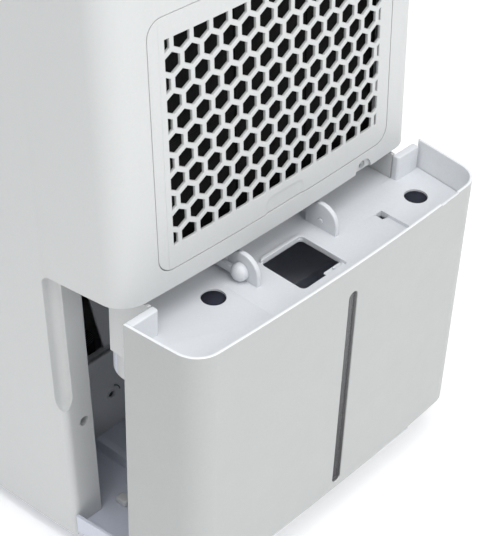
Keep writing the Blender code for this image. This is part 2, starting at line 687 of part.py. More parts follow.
def make_screws(mats):
    head = [(0, -1.8 * MM), (1.5 * MM, -1.7 * MM), (3.3 * MM, -0.8 * MM), (3.6 * MM, 0), (0, 0)]
    places = {
        "front_screw": (NOTCH_X, 4.3 * MM, 323.5 * MM),
        "post_screw_left": (-POST_SCREW_X, 93.7 * MM, POST_SCREW_Z),
        "post_screw_right": (POST_SCREW_X, 93.7 * MM, POST_SCREW_Z),
        "bay_screw": (-72 * MM, 164.4 * MM, 73 * MM),
    }
    for name, place in places.items():
        turned(name, head, place, "Y", mats["steel"], 16)


def make_casters(mats):
    for row, y in zip(("front", "rear"), CASTER_Y):
        for side, letter in ((-1, "left"), (1, "right")):
            x = side * CASTER_X
            tag = row + "_" + letter
            fork = box("caster_fork_" + tag, (x - 9 * MM, y - 7 * MM, 23.6 * MM),
                       (x + 9 * MM, y + 7 * MM, 25.4 * MM), mats["steel"])
            for edge in (-1, 1):
                xs = sorted((x + edge * 7 * MM, x + edge * 8.8 * MM))
                add(fork, box("cheek", (xs[0], y - 5 * MM, 6 * MM), (xs[1], y + 5 * MM, 24 * MM)))
            add(fork, rod("stem", 3 * MM, 5 * MM, (x, y, 27.2 * MM), sides=12))
            subtract(fork, rod("axle_bore", 2.15 * MM, 0.04, (x, y, WHEEL_RADIUS), "X", sides=12))
            profile = [(0, -9.5 * MM), (2 * MM, -9.5 * MM), (2 * MM, -6.5 * MM), (9 * MM, -6.5 * MM),
                       (WHEEL_RADIUS, -4.5 * MM), (WHEEL_RADIUS, 4.5 * MM), (9 * MM, 6.5 * MM),
                       (2 * MM, 6.5 * MM), (2 * MM, 9.5 * MM), (0, 9.5 * MM)]
            turned("caster_wheel_" + tag, profile, (x, y, WHEEL_RADIUS), "X", mats["grey"], 24)


# ---------------------------------------------------------------- bucket
def make_bucket_cover(mats):
    inset = 0.3 * MM
    back = dict(back_y=COVER_BACK_Y)
    cover = prism("bucket_cover", wall_section(inset, COVER_WALL, **back), *COVER_Z, mats["white"])
    floor = prism("floor", full_outline(inset + 0.5 * MM, **back), COVER_Z[0], COVER_Z[0] + 2.5 * MM)
    floor.data.transform(Matrix.Translation((0, 0, 0.1 * MM)))
    add(cover, floor)
    slot = rounded_rectangle(-WINDOW_WIDE / 2, WINDOW_WIDE / 2, *WINDOW_Z, 5.4 * MM, 5)
    subtract(cover, loft("slot", [[(x, y, z) for x, z in slot] for y in (-0.01, 0.01)]))
    return cover


def tank_plan(half, front, back, radius):
    return rounded_rectangle(-half, half, front, back, radius, 5)


def make_tank(mats):
    top = LID_Z - LID_THICK - GAP
    low, high = COLLAR_Z
    tank = prism("bucket_tank", tank_plan(TANK_HALF, TANK_FRONT_Y, TANK_LOW_BACK_Y, 18 * MM),
                 TANK_BOTTOM_Z, top, mats["lid"])
    upper = prism("upper", tank_plan(TANK_HALF - 0.01 * MM, TANK_FRONT_Y + 0.01 * MM, TANK_BACK_Y, 18 * MM),
                  TANK_STEP_Z, top - 0.001 * MM)
    add(tank, upper)
    for side in (-1, 1):
        xs = sorted((side * (TANK_HALF - TANK_WALL + 0.3 * MM), side * COLLAR_HALF))
        collar = [(xs[0], COLLAR_Y[0]), (xs[1], COLLAR_Y[0]), (xs[1], COLLAR_Y[1]), (xs[0], COLLAR_Y[1])]
        add(tank, prism("collar", collar, low, top - 0.002 * MM))
        xs = sorted((side * (TANK_HALF + 0.3 * MM), side * (COLLAR_HALF - 0.01 * MM)))
        add(tank, box("cheek", (xs[0], COLLAR_Y[0] + 0.01 * MM, low + 5 * MM), (xs[1], COLLAR_Y[1] - 0.01 * MM, high)))
    inner = prism("inner", tank_plan(TANK_HALF - TANK_WALL, TANK_FRONT_Y + TANK_WALL,
                                     TANK_LOW_BACK_Y - TANK_WALL, 16 * MM), TANK_BOTTOM_Z + TANK_WALL, 0.4)
    deep = prism("deep", tank_plan(TANK_HALF - TANK_WALL - 0.01 * MM, TANK_FRONT_Y + TANK_WALL + 0.01 * MM,
                                   TANK_BACK_Y - TANK_WALL, 16 * MM), TANK_STEP_Z + TANK_WALL, 0.4)
    add(inner, deep)
    return subtract(tank, inner)


def make_lid(mats):
    """Splash lid: a plate with a filling hole, two vents, a slot and two raised shoulders."""
    plan = full_outline(COVER_WALL + 0.9 * MM, back_y=85.6 * MM)
    lid = prism("bucket_lid", plan, LID_Z - LID_THICK, LID_Z, mats["lid"])
    rear = rounded_rectangle(-TANK_HALF, TANK_HALF, 60 * MM, TANK_BACK_Y + 1.5 * MM, 18 * MM, 5)
    add(lid, prism("rear", rear, LID_Z - LID_THICK + 0.002 * MM, LID_Z - 0.002 * MM))
    subtract(lid, box("filler", (-27 * MM, 33 * MM, 0.2), (25 * MM, 83 * MM, 0.3)))
    for x, y in ((-88 * MM, 80 * MM), (148 * MM, 51 * MM)):
        subtract(lid, rod("vent", 11 * MM, 0.02, (x, y, LID_Z), sides=24))
    subtract(lid, box("slot", (98 * MM, 26 * MM, LID_Z - 1.1 * MM), (108 * MM, 59 * MM, 0.3)))
    subtract(lid, box("slot_hole", (98.1 * MM, 51 * MM, 0.27), (107.9 * MM, 58.9 * MM, 0.3)))
    for side in (-1, 1):
        xs = sorted((side * 153 * MM, side * 183 * MM))
        add(lid, box("shoulder", (xs[0], 78 * MM, LID_Z - 2 * MM), (xs[1], 85.5 * MM, 309.5 * MM)))
        add(lid, make_ear(side))
        subtract(lid, rod("pivot", 3.1 * MM, 0.02, (side * EAR_X, EAR_Y, EAR_Z), "X", sides=14))
    for low, high in (((25.1 * MM, 30 * MM), (28.5 * MM, 86.5 * MM)), ((-27.2 * MM, 83.1 * MM), (25.5 * MM, 86.5 * MM))):
        add(lid, box("lip", (low[0], low[1], LID_Z - 1 * MM), (high[0], high[1], LID_Z + 3 * MM)))
    return lid


def make_ear(side):
    """Upright half-round ear that carries one end of the handle."""
    profile = arc(EAR_Y, EAR_Z, EAR_RADIUS, 0, math.pi, 12)
    base = LID_Z - 1.5 * MM
    outline = [(EAR_Y + EAR_RADIUS, base)] + profile + [(EAR_Y - EAR_RADIUS, base)]
    xs = sorted((side * (EAR_X - EAR_THICK / 2), side * (EAR_X + EAR_THICK / 2)))
    rings = [[(x, y, z) for y, z in outline] for x in xs]
    return loft("ear", rings)


def make_handle(mats):
    """Swing handle folded back over the lid: a bar, two arms and their pivot ends."""
    near = EAR_X + EAR_THICK / 2 + GAP
    far = near + 5 * MM
    bar_y = EAR_Y + HANDLE_REACH
    bar = box("carry_handle", (-far, bar_y - 5 * MM, EAR_Z - 4 * MM), (far, bar_y + 5 * MM, EAR_Z + 3 * MM), mats["lid"])
    for side in (-1, 1):
        xs = sorted((side * near, side * (far + 0.01 * MM)))
        add(bar, box("arm", (xs[0], EAR_Y, EAR_Z - 4.01 * MM), (xs[1], bar_y, EAR_Z + 3.01 * MM)))
        profile = [(0, 0), (7.4 * MM, 0), (7.4 * MM, 5.5 * MM), (6.2 * MM, 8 * MM), (3.4 * MM, 9.6 * MM), (0, 10 * MM)]
        centre = (side * near, EAR_Y, EAR_Z)
        add(bar, turned("boss", [(r, side * h) for r, h in profile], centre, "X", sides=20))
        add(bar, rod("pin", 2.8 * MM, 8 * MM, (side * (near - 2.5 * MM), EAR_Y, EAR_Z), "X", sides=12))
    return bar


def make_window(mats):
    """Level window: a channel behind the slot, with the red float inside it."""
    half = WINDOW_WIDE / 2 - GAP
    z0, z1 = WINDOW_Z[0] + GAP, WINDOW_Z[1] - GAP
    face = rounded_rectangle(-half, half, z0, z1, 5 * MM, 5)
    lens = loft("level_window", [[(x, y, z) for x, z in face] for y in (0.9 * MM, 3.2 * MM)], mats["lens"])
    for side in (-1, 1):
        xs = sorted((side * 7.5 * MM, side * 4.6 * MM))
        add(lens, box("rail", (xs[0], 3.01 * MM, z0), (xs[1], 12 * MM, LID_Z - 5 * MM)))
    add(lens, box("foot", (-7.4 * MM, 3.02 * MM, z0 + 0.01 * MM), (7.4 * MM, 11.9 * MM, z0 + 3 * MM)))
    turned("level_float", [(0, -4 * MM), (2.6 * MM, -4 * MM), (3.6 * MM, -2 * MM), (3.6 * MM, 2 * MM),
                           (2.6 * MM, 4 * MM), (0, 4 * MM)], (0, 7.3 * MM, WINDOW_Z[0] + 8 * MM), "Z", mats["red"], 16)
    return lens


def make_full_lever(mats):
    """Rocker that the bucket's float lifts when the bucket is full, and the switch above it."""
    lever = box("full_lever", (-70 * MM, 118 * MM, 319 * MM), (-58 * MM, 152 * MM, 322 * MM), mats["dark"])
    add(lever, rod("lever_hub", 3 * MM, 11.9 * MM, (-64 * MM, 135 * MM, 320.5 * MM), "X", sides=12))
    box("full_switch", (-72 * MM, 140 * MM, 324 * MM), (-52 * MM, 150 * MM, 329.7 * MM), mats["dark"])
    return lever


def make_runner(mats):
    """Skid under the bucket that slides on the base and carries the line the bucket tips about."""
    runner = box("bucket_runner", (-112 * MM, 2 * MM, LIP_Z + GAP), (112 * MM, 100 * MM, LIP_Z + 2.3 * MM),
                 mats["grey"])
    subtract(runner, box("relief", (-92 * MM, 20 * MM, 0.04), (92 * MM, 85 * MM, 0.06)))
    return runner


BUCKET_NODES = ("bucket_cover", "bucket_tank", "bucket_lid", "carry_handle", "level_window", "level_float")


def pose_bucket():
    """Draw the bucket out along -Y and lean it about its tip line, under one empty."""
    pivot = Vector((0, TIP_Y, TIP_Z))
    place = Matrix.Translation((0, -DRAWN_OUT, 0)) @ Matrix.Translation(pivot)
    place = place @ Matrix.Rotation(LEAN, 4, "X") @ Matrix.Translation(-pivot)
    for name in BUCKET_NODES:
        bpy.data.objects[name].data.transform(place)
    bpy.data.objects["bucket_runner"].data.transform(Matrix.Translation((0, -DRAWN_OUT, 0)))


def main():
    clear_scene()
    mats = make_materials()
    make_front_housing(mats)
    make_rear_housing(mats)
    make_top_cover(mats)
    make_outlet_grille(mats)
    make_control_panel(mats)
    make_buttons(mats)
    make_base_tray(mats)
    make_filter_cover(mats)
    make_filter_screen(mats)
    make_coils(mats)
    make_drip_tray(mats)
    make_deck(mats)
    make_bay_wall(mats)
    make_fan(mats)
    make_machine(mats)
    make_rear_fittings(mats)
    make_screws(mats)
    make_casters(mats)
    make_bucket_cover(mats)
    make_tank(mats)
    make_lid(mats)
    make_handle(mats)
    make_window(mats)
    make_full_lever(mats)
    make_runner(mats)
    pose_bucket()


main()
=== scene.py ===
"""Looks of the dehumidifier: moulded plastics, bucket, grille, studio and camera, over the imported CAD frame.

Metres, +Z up, the front faces -Y.  The bucket stands partly drawn out and leans forward a few degrees.
"""
import json
import math

import bmesh
import bpy
from mathutils import Matrix, Vector


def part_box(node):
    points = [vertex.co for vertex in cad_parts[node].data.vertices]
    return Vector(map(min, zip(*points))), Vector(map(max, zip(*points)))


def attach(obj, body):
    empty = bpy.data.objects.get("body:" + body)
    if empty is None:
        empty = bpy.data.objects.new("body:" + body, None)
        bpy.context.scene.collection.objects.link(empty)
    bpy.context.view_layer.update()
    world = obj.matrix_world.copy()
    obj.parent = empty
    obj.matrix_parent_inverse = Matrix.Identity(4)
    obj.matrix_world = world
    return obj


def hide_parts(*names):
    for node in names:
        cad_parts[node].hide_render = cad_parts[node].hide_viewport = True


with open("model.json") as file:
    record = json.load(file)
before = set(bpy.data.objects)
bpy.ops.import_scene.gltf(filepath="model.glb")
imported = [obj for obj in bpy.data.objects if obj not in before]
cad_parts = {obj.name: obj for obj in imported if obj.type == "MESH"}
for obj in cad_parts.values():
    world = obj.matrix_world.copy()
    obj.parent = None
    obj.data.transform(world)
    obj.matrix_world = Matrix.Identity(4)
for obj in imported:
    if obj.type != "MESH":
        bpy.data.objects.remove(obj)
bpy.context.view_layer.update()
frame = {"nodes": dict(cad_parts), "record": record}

MM = 0.001

# ---- driving dimensions: cabinet ----
FRONT_RADIUS = 2941 * MM       # plan radius of the gently bowed front
SIDE_RADIUS = 2005 * MM        # plan radius of the bowed sides
HALF_WIDTH = 196.2 * MM        # widest half width of the cabinet
WIDEST_Y = 251 * MM            # where the sides are widest
FRONT_CORNER = 26 * MM
WALL = 3 * MM
BASE_Z = 17 * MM               # underside of the base above the floor
FLOOR_Z = 30 * MM              # floor of the bucket bay
SHELL_Z = 318 * MM             # lower edge of the upper front
TOP_Z = 602 * MM               # top edge of the housings
SPLIT_Y = 200 * MM             # parting plane of the front and rear housings
GAP = 0.3 * MM

# ---- bucket bay ----
STRIP_Y = 86 * MM              # front plane of the lower side posts
STRIP_HALF = 158 * MM          # half width of the clear way between the posts
POST_CORNER = 8 * MM
GRIP_FLOOR_X = 178.5 * MM
GRIP_BACK_Y = 96 * MM
GRIP_SCOOP = 8 * MM
GRIP_Z = (170 * MM, 316.5 * MM)
POST_SCREW_X = 168 * MM
POST_SCREW_Z = 148 * MM
NOTCH_X = 110 * MM             # screw notch in the lower edge of the upper front

# ---- filter opening in the front ----
FRAME_HALF = 142.4 * MM
FRAME_Z = (336.5 * MM, 560 * MM)
FRAME_CORNER = 15 * MM
GRID_HALF = 126 * MM
GRID_Z = (358.5 * MM, 541 * MM)
CELL_PITCH = 20 * MM
CELL_WALL = 4.4 * MM
CELL_X0 = -39.1 * MM
CELL_Z0 = 450.6 * MM

# ---- bucket, in its closed and upright place ----
DRAWN_OUT = 68 * MM
LEAN = math.radians(3.22)
TIP_Y = 5 * MM                 # the line that the bucket tips about
TIP_Z = 46.7 * MM
COVER_Z = (46.7 * MM, 313.4 * MM)
COVER_BACK_Y = 82 * MM
COVER_WALL = 2.6 * MM
LID_Z = 283.5 * MM             # upper face of the lid
LID_THICK = 2.5 * MM
TANK_HALF = 153.5 * MM
TANK_FRONT_Y = 13 * MM
TANK_LOW_BACK_Y = 105 * MM
TANK_BACK_Y = 150 * MM
TANK_STEP_Z = 205 * MM
TANK_BOTTOM_Z = 50 * MM
TANK_WALL = 2.2 * MM
COLLAR_HALF = 157 * MM         # raised side walls at the back of the tank
COLLAR_Y = (86.3 * MM, 134 * MM)
COLLAR_Z = (234 * MM, 309.5 * MM)
EAR_X = 50.5 * MM
EAR_THICK = 5 * MM
EAR_Y = 80.5 * MM
EAR_Z = 291.5 * MM
EAR_RADIUS = 18 * MM
HANDLE_REACH = 46 * MM
WINDOW_Z = (55 * MM, 285 * MM)
WINDOW_WIDE = 11 * MM
VENTS = (("left", -88 * MM, 80 * MM), ("right", 148 * MM, 51 * MM))
VENT_RADIUS = 11 * MM
FLAT_HALF = 6.5 * MM           # half width of the flat strip that the window slot sits in

FINE = {"front_steps": 20, "corner_steps": 14, "side_steps": 14}


# ---------------------------------------------------------------- shape tools
def finish(name, bm, mat):
    """Turn a bmesh into a named object with outward faces."""
    bmesh.ops.recalc_face_normals(bm, faces=bm.faces)
    mesh = bpy.data.meshes.new(name)
    bm.to_mesh(mesh)
    bm.free()
    obj = bpy.data.objects.new(name, mesh)
    bpy.context.collection.objects.link(obj)
    if mat is not None:
        mesh.materials.append(mat)
    mesh.shade_smooth()
    mesh.set_sharp_from_angle(angle=math.radians(35))
    return obj


def loft(name, rings, mat=None):
    """Bridge equal rings of points into one closed solid."""
    bm = bmesh.new()
    rows = [[bm.verts.new(p) for p in ring] for ring in rings]
    count = len(rows[0])
    for low, high in zip(rows, rows[1:]):
        for i in range(count):
            j = (i + 1) % count
            bm.faces.new((low[i], low[j], high[j], high[i]))
    bm.faces.new(rows[0][::-1])
    bm.faces.new(rows[-1])
    return finish(name, bm, mat)


def prism(name, outline, z0, z1, mat=None):
    rings = [[(x, y, z) for x, y in outline] for z in (z0, z1)]
    return loft(name, rings, mat)


def box(name, low, high, mat=None):
    x0, y0, z0 = low
    x1, y1, z1 = high
    return prism(name, [(x0, y0), (x1, y0), (x1, y1), (x0, y1)], z0, z1, mat)


def turned(name, profile, centre, axis="Z", mat=None, sides=24):
    """Solid of revolution; profile runs as (radius, height) pairs, and its ends lie on the axis."""
    bm = bmesh.new()
    rings = []
    for radius, height in profile:
        if radius < 1e-7:
            rings.append([bm.verts.new((0, 0, height))])
            continue
        ring = []
        for i in range(sides):
            turn = 2 * math.pi * i / sides
            ring.append(bm.verts.new((radius * math.cos(turn), radius * math.sin(turn), height)))
        rings.append(ring)
    for low, high in zip(rings, rings[1:]):
        for i in range(sides):
            j = (i + 1) % sides
            if len(low) == 1:
                bm.faces.new((low[0], high[i], high[j]))
            elif len(high) == 1:
                bm.faces.new((low[i], low[j], high[0]))
            else:
                bm.faces.new((low[i], low[j], high[j], high[i]))
    turns = {"X": Matrix.Rotation(math.pi / 2, 4, "Y"), "Z": Matrix.Identity(4)}
    turns["Y"] = Matrix.Rotation(-math.pi / 2, 4, "X")
    bmesh.ops.transform(bm, matrix=Matrix.Translation(centre) @ turns[axis], verts=bm.verts)
    return finish(name, bm, mat)


def rod(name, radius, length, centre, axis="Z", mat=None, sides=20):
    """Cylinder whose middle is at centre."""
    profile = [(0, -length / 2), (radius, -length / 2), (radius, length / 2), (0, length / 2)]
    return turned(name, profile, centre, axis, mat, sides)


def combine(target, other, operation):
    """Apply a Boolean of one object on another, and remove the other."""
    cut = target.modifiers.new("cut", "BOOLEAN")
    cut.operation = operation
    cut.object = other
    cut.solver = "EXACT"
    graph = bpy.context.evaluated_depsgraph_get()
    result = bpy.data.meshes.new_from_object(target.evaluated_get(graph))
    target.modifiers.clear()
    target.data = result
    bpy.data.objects.remove(other, do_unlink=True)
    result.shade_smooth()
    result.set_sharp_from_angle(angle=math.radians(35))
    return target


def subtract(target, *others):
    """Cut the others out of the target."""
    for other in others:
        combine(target, other, "DIFFERENCE")
    return target


def add(target, *others):
    """Fuse the others into the target."""
    for other in others:
        combine(target, other, "UNION")
    return target


def arc(cx, cy, radius, start, end, steps):
    points = []
    for i in range(steps + 1):
        turn = start + (end - start) * i / steps
        points.append((cx + radius * math.cos(turn), cy + radius * math.sin(turn)))
    return points


def mirrored(points):
    return [(-x, y) for x, y in reversed(points)]


def rounded_rectangle(x0, x1, z0, z1, radius, steps=5):
    corners = [(x1 - radius, z0 + radius, -90), (x1 - radius, z1 - radius, 0),
               (x0 + radius, z1 - radius, 90), (x0 + radius, z0 + radius, 180)]
    points = []
    for cx, cz, start in corners:
        points += arc(cx, cz, radius, math.radians(start), math.radians(start + 90), steps)
    return points


def front_y(x):
    """How far the bowed front lies behind its middle."""
    return x * x / (2 * FRONT_RADIUS)


def side_x(y):
    """Half width of the bowed sides at a depth."""
    return HALF_WIDTH - (y - WIDEST_Y) ** 2 / (2 * SIDE_RADIUS)


def front_corner_centre():
    """Centre of the corner arc that touches the front arc and the side arc."""
    cx = HALF_WIDTH - 2 * FRONT_CORNER
    cy = FRONT_CORNER
    for _ in range(40):
        side_slope = (cy - WIDEST_Y) / SIDE_RADIUS
        cx = side_x(cy) - FRONT_CORNER * math.hypot(1, side_slope)
        cy = front_y(cx) + FRONT_CORNER * math.hypot(1, cx / FRONT_RADIUS)
    return cx, cy


def half_outline(inset, back_y, front_steps, corner_steps, side_steps):
    """Right half of the plan outline, from the flat strip in the front's middle back to back_y."""
    cx, cy = front_corner_centre()
    front_turn = math.atan2(-1, cx / FRONT_RADIUS)
    side_turn = math.atan2((cy - WIDEST_Y) / SIDE_RADIUS, 1)
    side_centre = HALF_WIDTH - SIDE_RADIUS
    points = arc(0, FRONT_RADIUS, FRONT_RADIUS - inset, -math.pi / 2 + FLAT_HALF / FRONT_RADIUS,
                 -math.pi / 2 + math.asin(cx / FRONT_RADIUS), front_steps)[:-1]
    points += arc(cx, cy, FRONT_CORNER - inset, front_turn, side_turn, corner_steps)
    end_turn = math.asin((back_y - WIDEST_Y) / (SIDE_RADIUS - inset))
    points += arc(side_centre, WIDEST_Y, SIDE_RADIUS - inset, side_turn, end_turn, side_steps)[1:]
    return points


def full_outline(inset, **options):
    right = half_outline(inset, **options)
    return mirrored(right) + right


def wall_section(outer_inset, thickness, back_y, **options):
    """Plan section of a wall that runs round the front, open at the back."""
    outer = full_outline(outer_inset, back_y=back_y, **options)
    inner = full_outline(outer_inset + thickness, back_y=back_y, **options)
    return outer + inner[::-1]


def bowed_slab(name, half_wide, z0, z1, y_front, y_back, mat=None, steps=14):
    """Slab that follows the bow of the front, from y_front to y_back behind the front face."""
    rings = []
    for i in range(steps + 1):
        x = -half_wide + 2 * half_wide * i / steps
        near = front_y(x) + y_front
        far = front_y(x) + y_back
        rings.append([(x, near, z0), (x, far, z0), (x, far, z1), (x, near, z1)])
    return loft(name, rings, mat)


def bow(flat, stations):
    """Slice a flat plate at the x stations, then bend it to the bow of the front."""
    bm = bmesh.new()
    bm.from_mesh(flat.data)
    for x in stations:
        parts = bm.verts[:] + bm.edges[:] + bm.faces[:]
        bmesh.ops.bisect_plane(bm, geom=parts, dist=1e-6, plane_co=(x, 0, 0), plane_no=(1, 0, 0))
    for vertex in bm.verts:
        vertex.co.y += front_y(vertex.co.x)
    bm.to_mesh(flat.data)
    bm.free()
    return flat


def bowed_panel(name, outline, y_front, y_back, mat=None):
    """Plate of the given XZ outline, cut out of a bowed slab."""
    xs = [p[0] for p in outline]
    zs = [p[1] for p in outline]
    half = max(max(xs), -min(xs))
    slab = bowed_slab(name, half + 5 * MM, min(zs) - 5 * MM, max(zs) + 5 * MM, y_front, y_back, mat)
    rings = [[(x, y, z) for x, z in outline] for y in (-0.05, 0.08)]
    return combine(slab, loft("trim", rings), "INTERSECT")


def clip(points, inside, cross):
    kept = []
    for a, b in zip(points, points[1:] + points[:1]):
        if inside(a):
            kept.append(a)
        if inside(a) != inside(b):
            kept.append(cross(a, b))
    return kept


def clip_to_grid(points):
    """Trim a cell to the straight border of the honeycomb field."""
    edges = ((0, -GRID_HALF, 1), (0, GRID_HALF, -1), (1, GRID_Z[0], 1), (1, GRID_Z[1], -1))
    for axis, limit, sign in edges:
        def inside(p):
            return (p[axis] - limit) * sign >= 0

        def cross(a, b):
            t = (limit - a[axis]) / (b[axis] - a[axis])
            return tuple(a[i] + (b[i] - a[i]) * t for i in (0, 1))
        points = clip(points, inside, cross)
        if len(points) < 3:
            return []
    return points


def area(points):
    total = 0
    for a, b in zip(points, points[1:] + points[:1]):
        total += a[0] * b[1] - b[0] * a[1]
    return abs(total) / 2


def honeycomb_cells():
    """Pointy-top hexagons on a close-packed lattice, trimmed to the grille's border."""
    row_rise = CELL_PITCH * math.sqrt(3) / 2
    radius = (CELL_PITCH - CELL_WALL) / math.sqrt(3)
    cells = []
    for row in range(-7, 8):
        for column in range(-9, 12):
            cx = CELL_X0 + CELL_PITCH * (column + 0.5 * (row % 2))
            cz = CELL_Z0 + row_rise * row
            corners = []
            for k in range(6):
                turn = math.radians(30 + 60 * k)
                corners.append((cx + radius * math.cos(turn), cz + radius * math.sin(turn)))
            corners = clip_to_grid(corners)
            if corners and area(corners) > (2.5 * MM) ** 2:
                cells.append(corners)
    return cells


def cleaned(piece):
    """Merge the hair-thin steps that overlapping parts leave."""
    bm = bmesh.new()
    bm.from_mesh(piece.data)
    bmesh.ops.remove_doubles(bm, verts=bm.verts, dist=0.02 * MM)
    bm.to_mesh(piece.data)
    bm.free()
    return piece


def rounded_edges(piece, width=0.6 * MM, segments=2, angle=42):
    """Moulded edge radius, kept as modifiers so that every sharp edge catches the light."""
    bevel = piece.modifiers.new("edge_radius", "BEVEL")
    bevel.width = width
    bevel.segments = segments
    bevel.limit_method = "ANGLE"
    bevel.angle_limit = math.radians(angle)
    bevel.use_clamp_overlap = False
    normals = piece.modifiers.new("face_normals", "WEIGHTED_NORMAL")
    normals.weight = 60
    normals.keep_sharp = False
    return piece


def sharp_shading(piece, angle=40):
    """Smooth shading broken at real edges, which the finish then rounds over."""
    piece["keep_sharp"] = True
    piece.data.shade_smooth()
    piece.data.set_sharp_from_angle(angle=math.radians(angle))
    return piece


def applied(piece):
    """Bake a piece's modifiers into its mesh."""
    graph = bpy.context.evaluated_depsgraph_get()
    result = bpy.data.meshes.new_from_object(piece.evaluated_get(graph))
    piece.modifiers.clear()
    piece.data = result
    return piece


def softened(piece, width, segments=3, angle=42):
    """Round a part's edges for good, before it joins another part."""
    cleaned(piece)
    bevel = piece.modifiers.new("edge_radius", "BEVEL")
    bevel.width = width
    bevel.segments = segments
    bevel.limit_method = "ANGLE"
    bevel.angle_limit = math.radians(angle)
    return applied(piece)


def dress(piece, mat, body, slot_name, *nodes):
    """Give a detailed piece its finish and let it stand for its CAD nodes."""
    piece.data.materials.clear()
    piece.data.materials.append(mat)
    for polygon in piece.data.polygons:
        polygon.use_smooth = True
        polygon.material_index = 0
    if "sharp_edge" in piece.data.attributes and "keep_sharp" not in piece:
        piece.data.attributes.remove(piece.data.attributes["sharp_edge"])
    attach(piece, body)
    if nodes:
        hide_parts(*nodes)
    return piece


# ---------------------------------------------------------------- materials
class Graph:
    """Small helper that wires a material's nodes."""

    def __init__(self, name):
        self.mat = bpy.data.materials.new(name)
        self.mat.use_nodes = True
        self.tree = self.mat.node_tree
        self.shader = self.tree.nodes["Principled BSDF"]
        self.place = self.tree.nodes.new("ShaderNodeTexCoord").outputs["Object"]

    def node(self, kind, **settings):
        made = self.tree.nodes.new("ShaderNode" + kind)
        for key, value in settings.items():
            setattr(made, key, value)
        return made

    def link(self, out, into):
        self.tree.links.new(out, into)

    def noise(self, scale, detail=3.0, stretch=None):
        source = self.place
        if stretch:
            mapping = self.node("Mapping")
            mapping.inputs["Scale"].default_value = stretch
            self.link(self.place, mapping.inputs["Vector"])
            source = mapping.outputs["Vector"]
        made = self.node("TexNoise")
        made.inputs["Scale"].default_value = scale
        made.inputs["Detail"].default_value = detail
        self.link(source, made.inputs["Vector"])
        return made.outputs["Fac"]

    def span(self, value, low, high, start=0.0, end=1.0):
        made = self.node("MapRange")
        for key, number in (("From Min", start), ("From Max", end), ("To Min", low), ("To Max", high)):
            made.inputs[key].default_value = number
        self.link(value, made.inputs["Value"])
        return made.outputs["Result"]

    def mix(self, factor, first, second):
        made = self.node("Mix", data_type="RGBA")
        self.link(factor, made.inputs["Factor"])
        for key, colour in (("A", first), ("B", second)):
            socket = [s for s in made.inputs if s.name == key and s.type == "RGBA"][0]
            if isinstance(colour, tuple):
                socket.default_value = (*colour, 1.0)
            else:
                self.link(colour, socket)
        return [s for s in made.outputs if s.type == "RGBA"][0]

    def colour(self, out):
        self.link(out, self.shader.inputs["Base Color"])

    def roughness(self, out):
        self.link(out, self.shader.inputs["Roughness"])

    def bump(self, *heights, edge=0.0):
        """Stack bumps, given as (height output, depth in metres, strength), over rounded-over edges."""
        previous = None
        if edge:
            rounded = self.node("Bevel", samples=4)
            rounded.inputs["Radius"].default_value = edge
            previous = rounded.outputs["Normal"]
        for out, depth, strength in heights:
            made = self.node("Bump")
            made.inputs["Strength"].default_value = strength
            made.inputs["Distance"].default_value = depth
            self.link(out, made.inputs["Height"])
            if previous is not None:
                self.link(previous, made.inputs["Normal"])
            previous = made.outputs["Normal"]
        self.link(previous, self.shader.inputs["Normal"])


def scaled(colour, factor):
    return tuple(c * factor for c in colour)


def moulded(name, colour, rough=0.42, grain=0.5, specular=0.5, edge_wear_and_sheen=1.04):
    """Injection-moulded plastic: faint mottling, fine spark texture, and edges painted a little lighter, for
    rub wear and as a painted highlight.
    """
    g = Graph(name)
    patches = g.span(g.noise(9, 4), 0, 1, 0.3, 0.7)
    specks = g.span(g.noise(420, 2), 0, 1, 0.35, 0.65)
    base = g.mix(patches, scaled(colour, 0.985), scaled(colour, 1.01))
    tone = g.mix(specks, base, scaled(colour, 0.975))
    # edges found by pointiness are lightened: a painted highlight together with rub wear
    edges = g.span(g.node("NewGeometry").outputs["Pointiness"], 0, 0.5, 0.5, 0.6)
    g.colour(g.mix(edges, tone, scaled(colour, edge_wear_and_sheen)))
    g.roughness(g.span(g.noise(60, 3), rough - 0.05, rough + 0.06, 0.3, 0.7))
    g.shader.inputs["Specular IOR Level"].default_value = specular
    g.bump((g.noise(55, 2), 0.00012, 0.25 * grain), (g.noise(1500, 2), 0.00003, grain), edge=0.0008)
    return g.mat


def metal(name, colour, rough, stretch):
    """Drawn or brushed metal, with streaks along one way and a slight stain."""
    g = Graph(name)
    streaks = g.noise(90, 4, stretch)
    stains = g.span(g.noise(26, 4), 0, 1, 0.35, 0.7)
    g.colour(g.mix(stains, colour, scaled(colour, 0.72)))
    g.roughness(g.span(streaks, rough - 0.1, rough + 0.14, 0.3, 0.7))
    g.shader.inputs["Metallic"].default_value = 1.0
    g.bump((streaks, 0.00008, 0.4))
    return g.mat


def banded(name, colour, dark, pitch, axis, metallic, rough, strength=0.8):
    """Closely spaced fins or threads: a fine wave across one axis, with painted shade in the gaps between
    them.
    """
    g = Graph(name)
    wave = g.node("TexWave", wave_type="BANDS", bands_direction=axis, wave_profile="SIN")
    wave.inputs["Scale"].default_value = 0.314 / pitch
    wave.inputs["Distortion"].default_value = 0.15
    g.link(g.place, wave.inputs["Vector"])
    # the gaps between the fins take the dark colour: painted shade between the fins; the noise below is dust
    gap_shade = g.span(wave.outputs["Fac"], 0, 1, 0.25, 0.8)
    dust = g.span(g.noise(40, 4), 0.75, 1.0, 0.3, 0.7)
    level = g.node("Math", operation="MULTIPLY")
    g.link(gap_shade, level.inputs[0])
    g.link(dust, level.inputs[1])
    g.colour(g.mix(level.outputs["Value"], dark, colour))
    g.roughness(g.span(g.noise(120, 2), rough - 0.08, rough + 0.1, 0.3, 0.7))
    g.shader.inputs["Metallic"].default_value = metallic
    g.bump((wave.outputs["Fac"], pitch * 0.5, strength))
    return g.mat


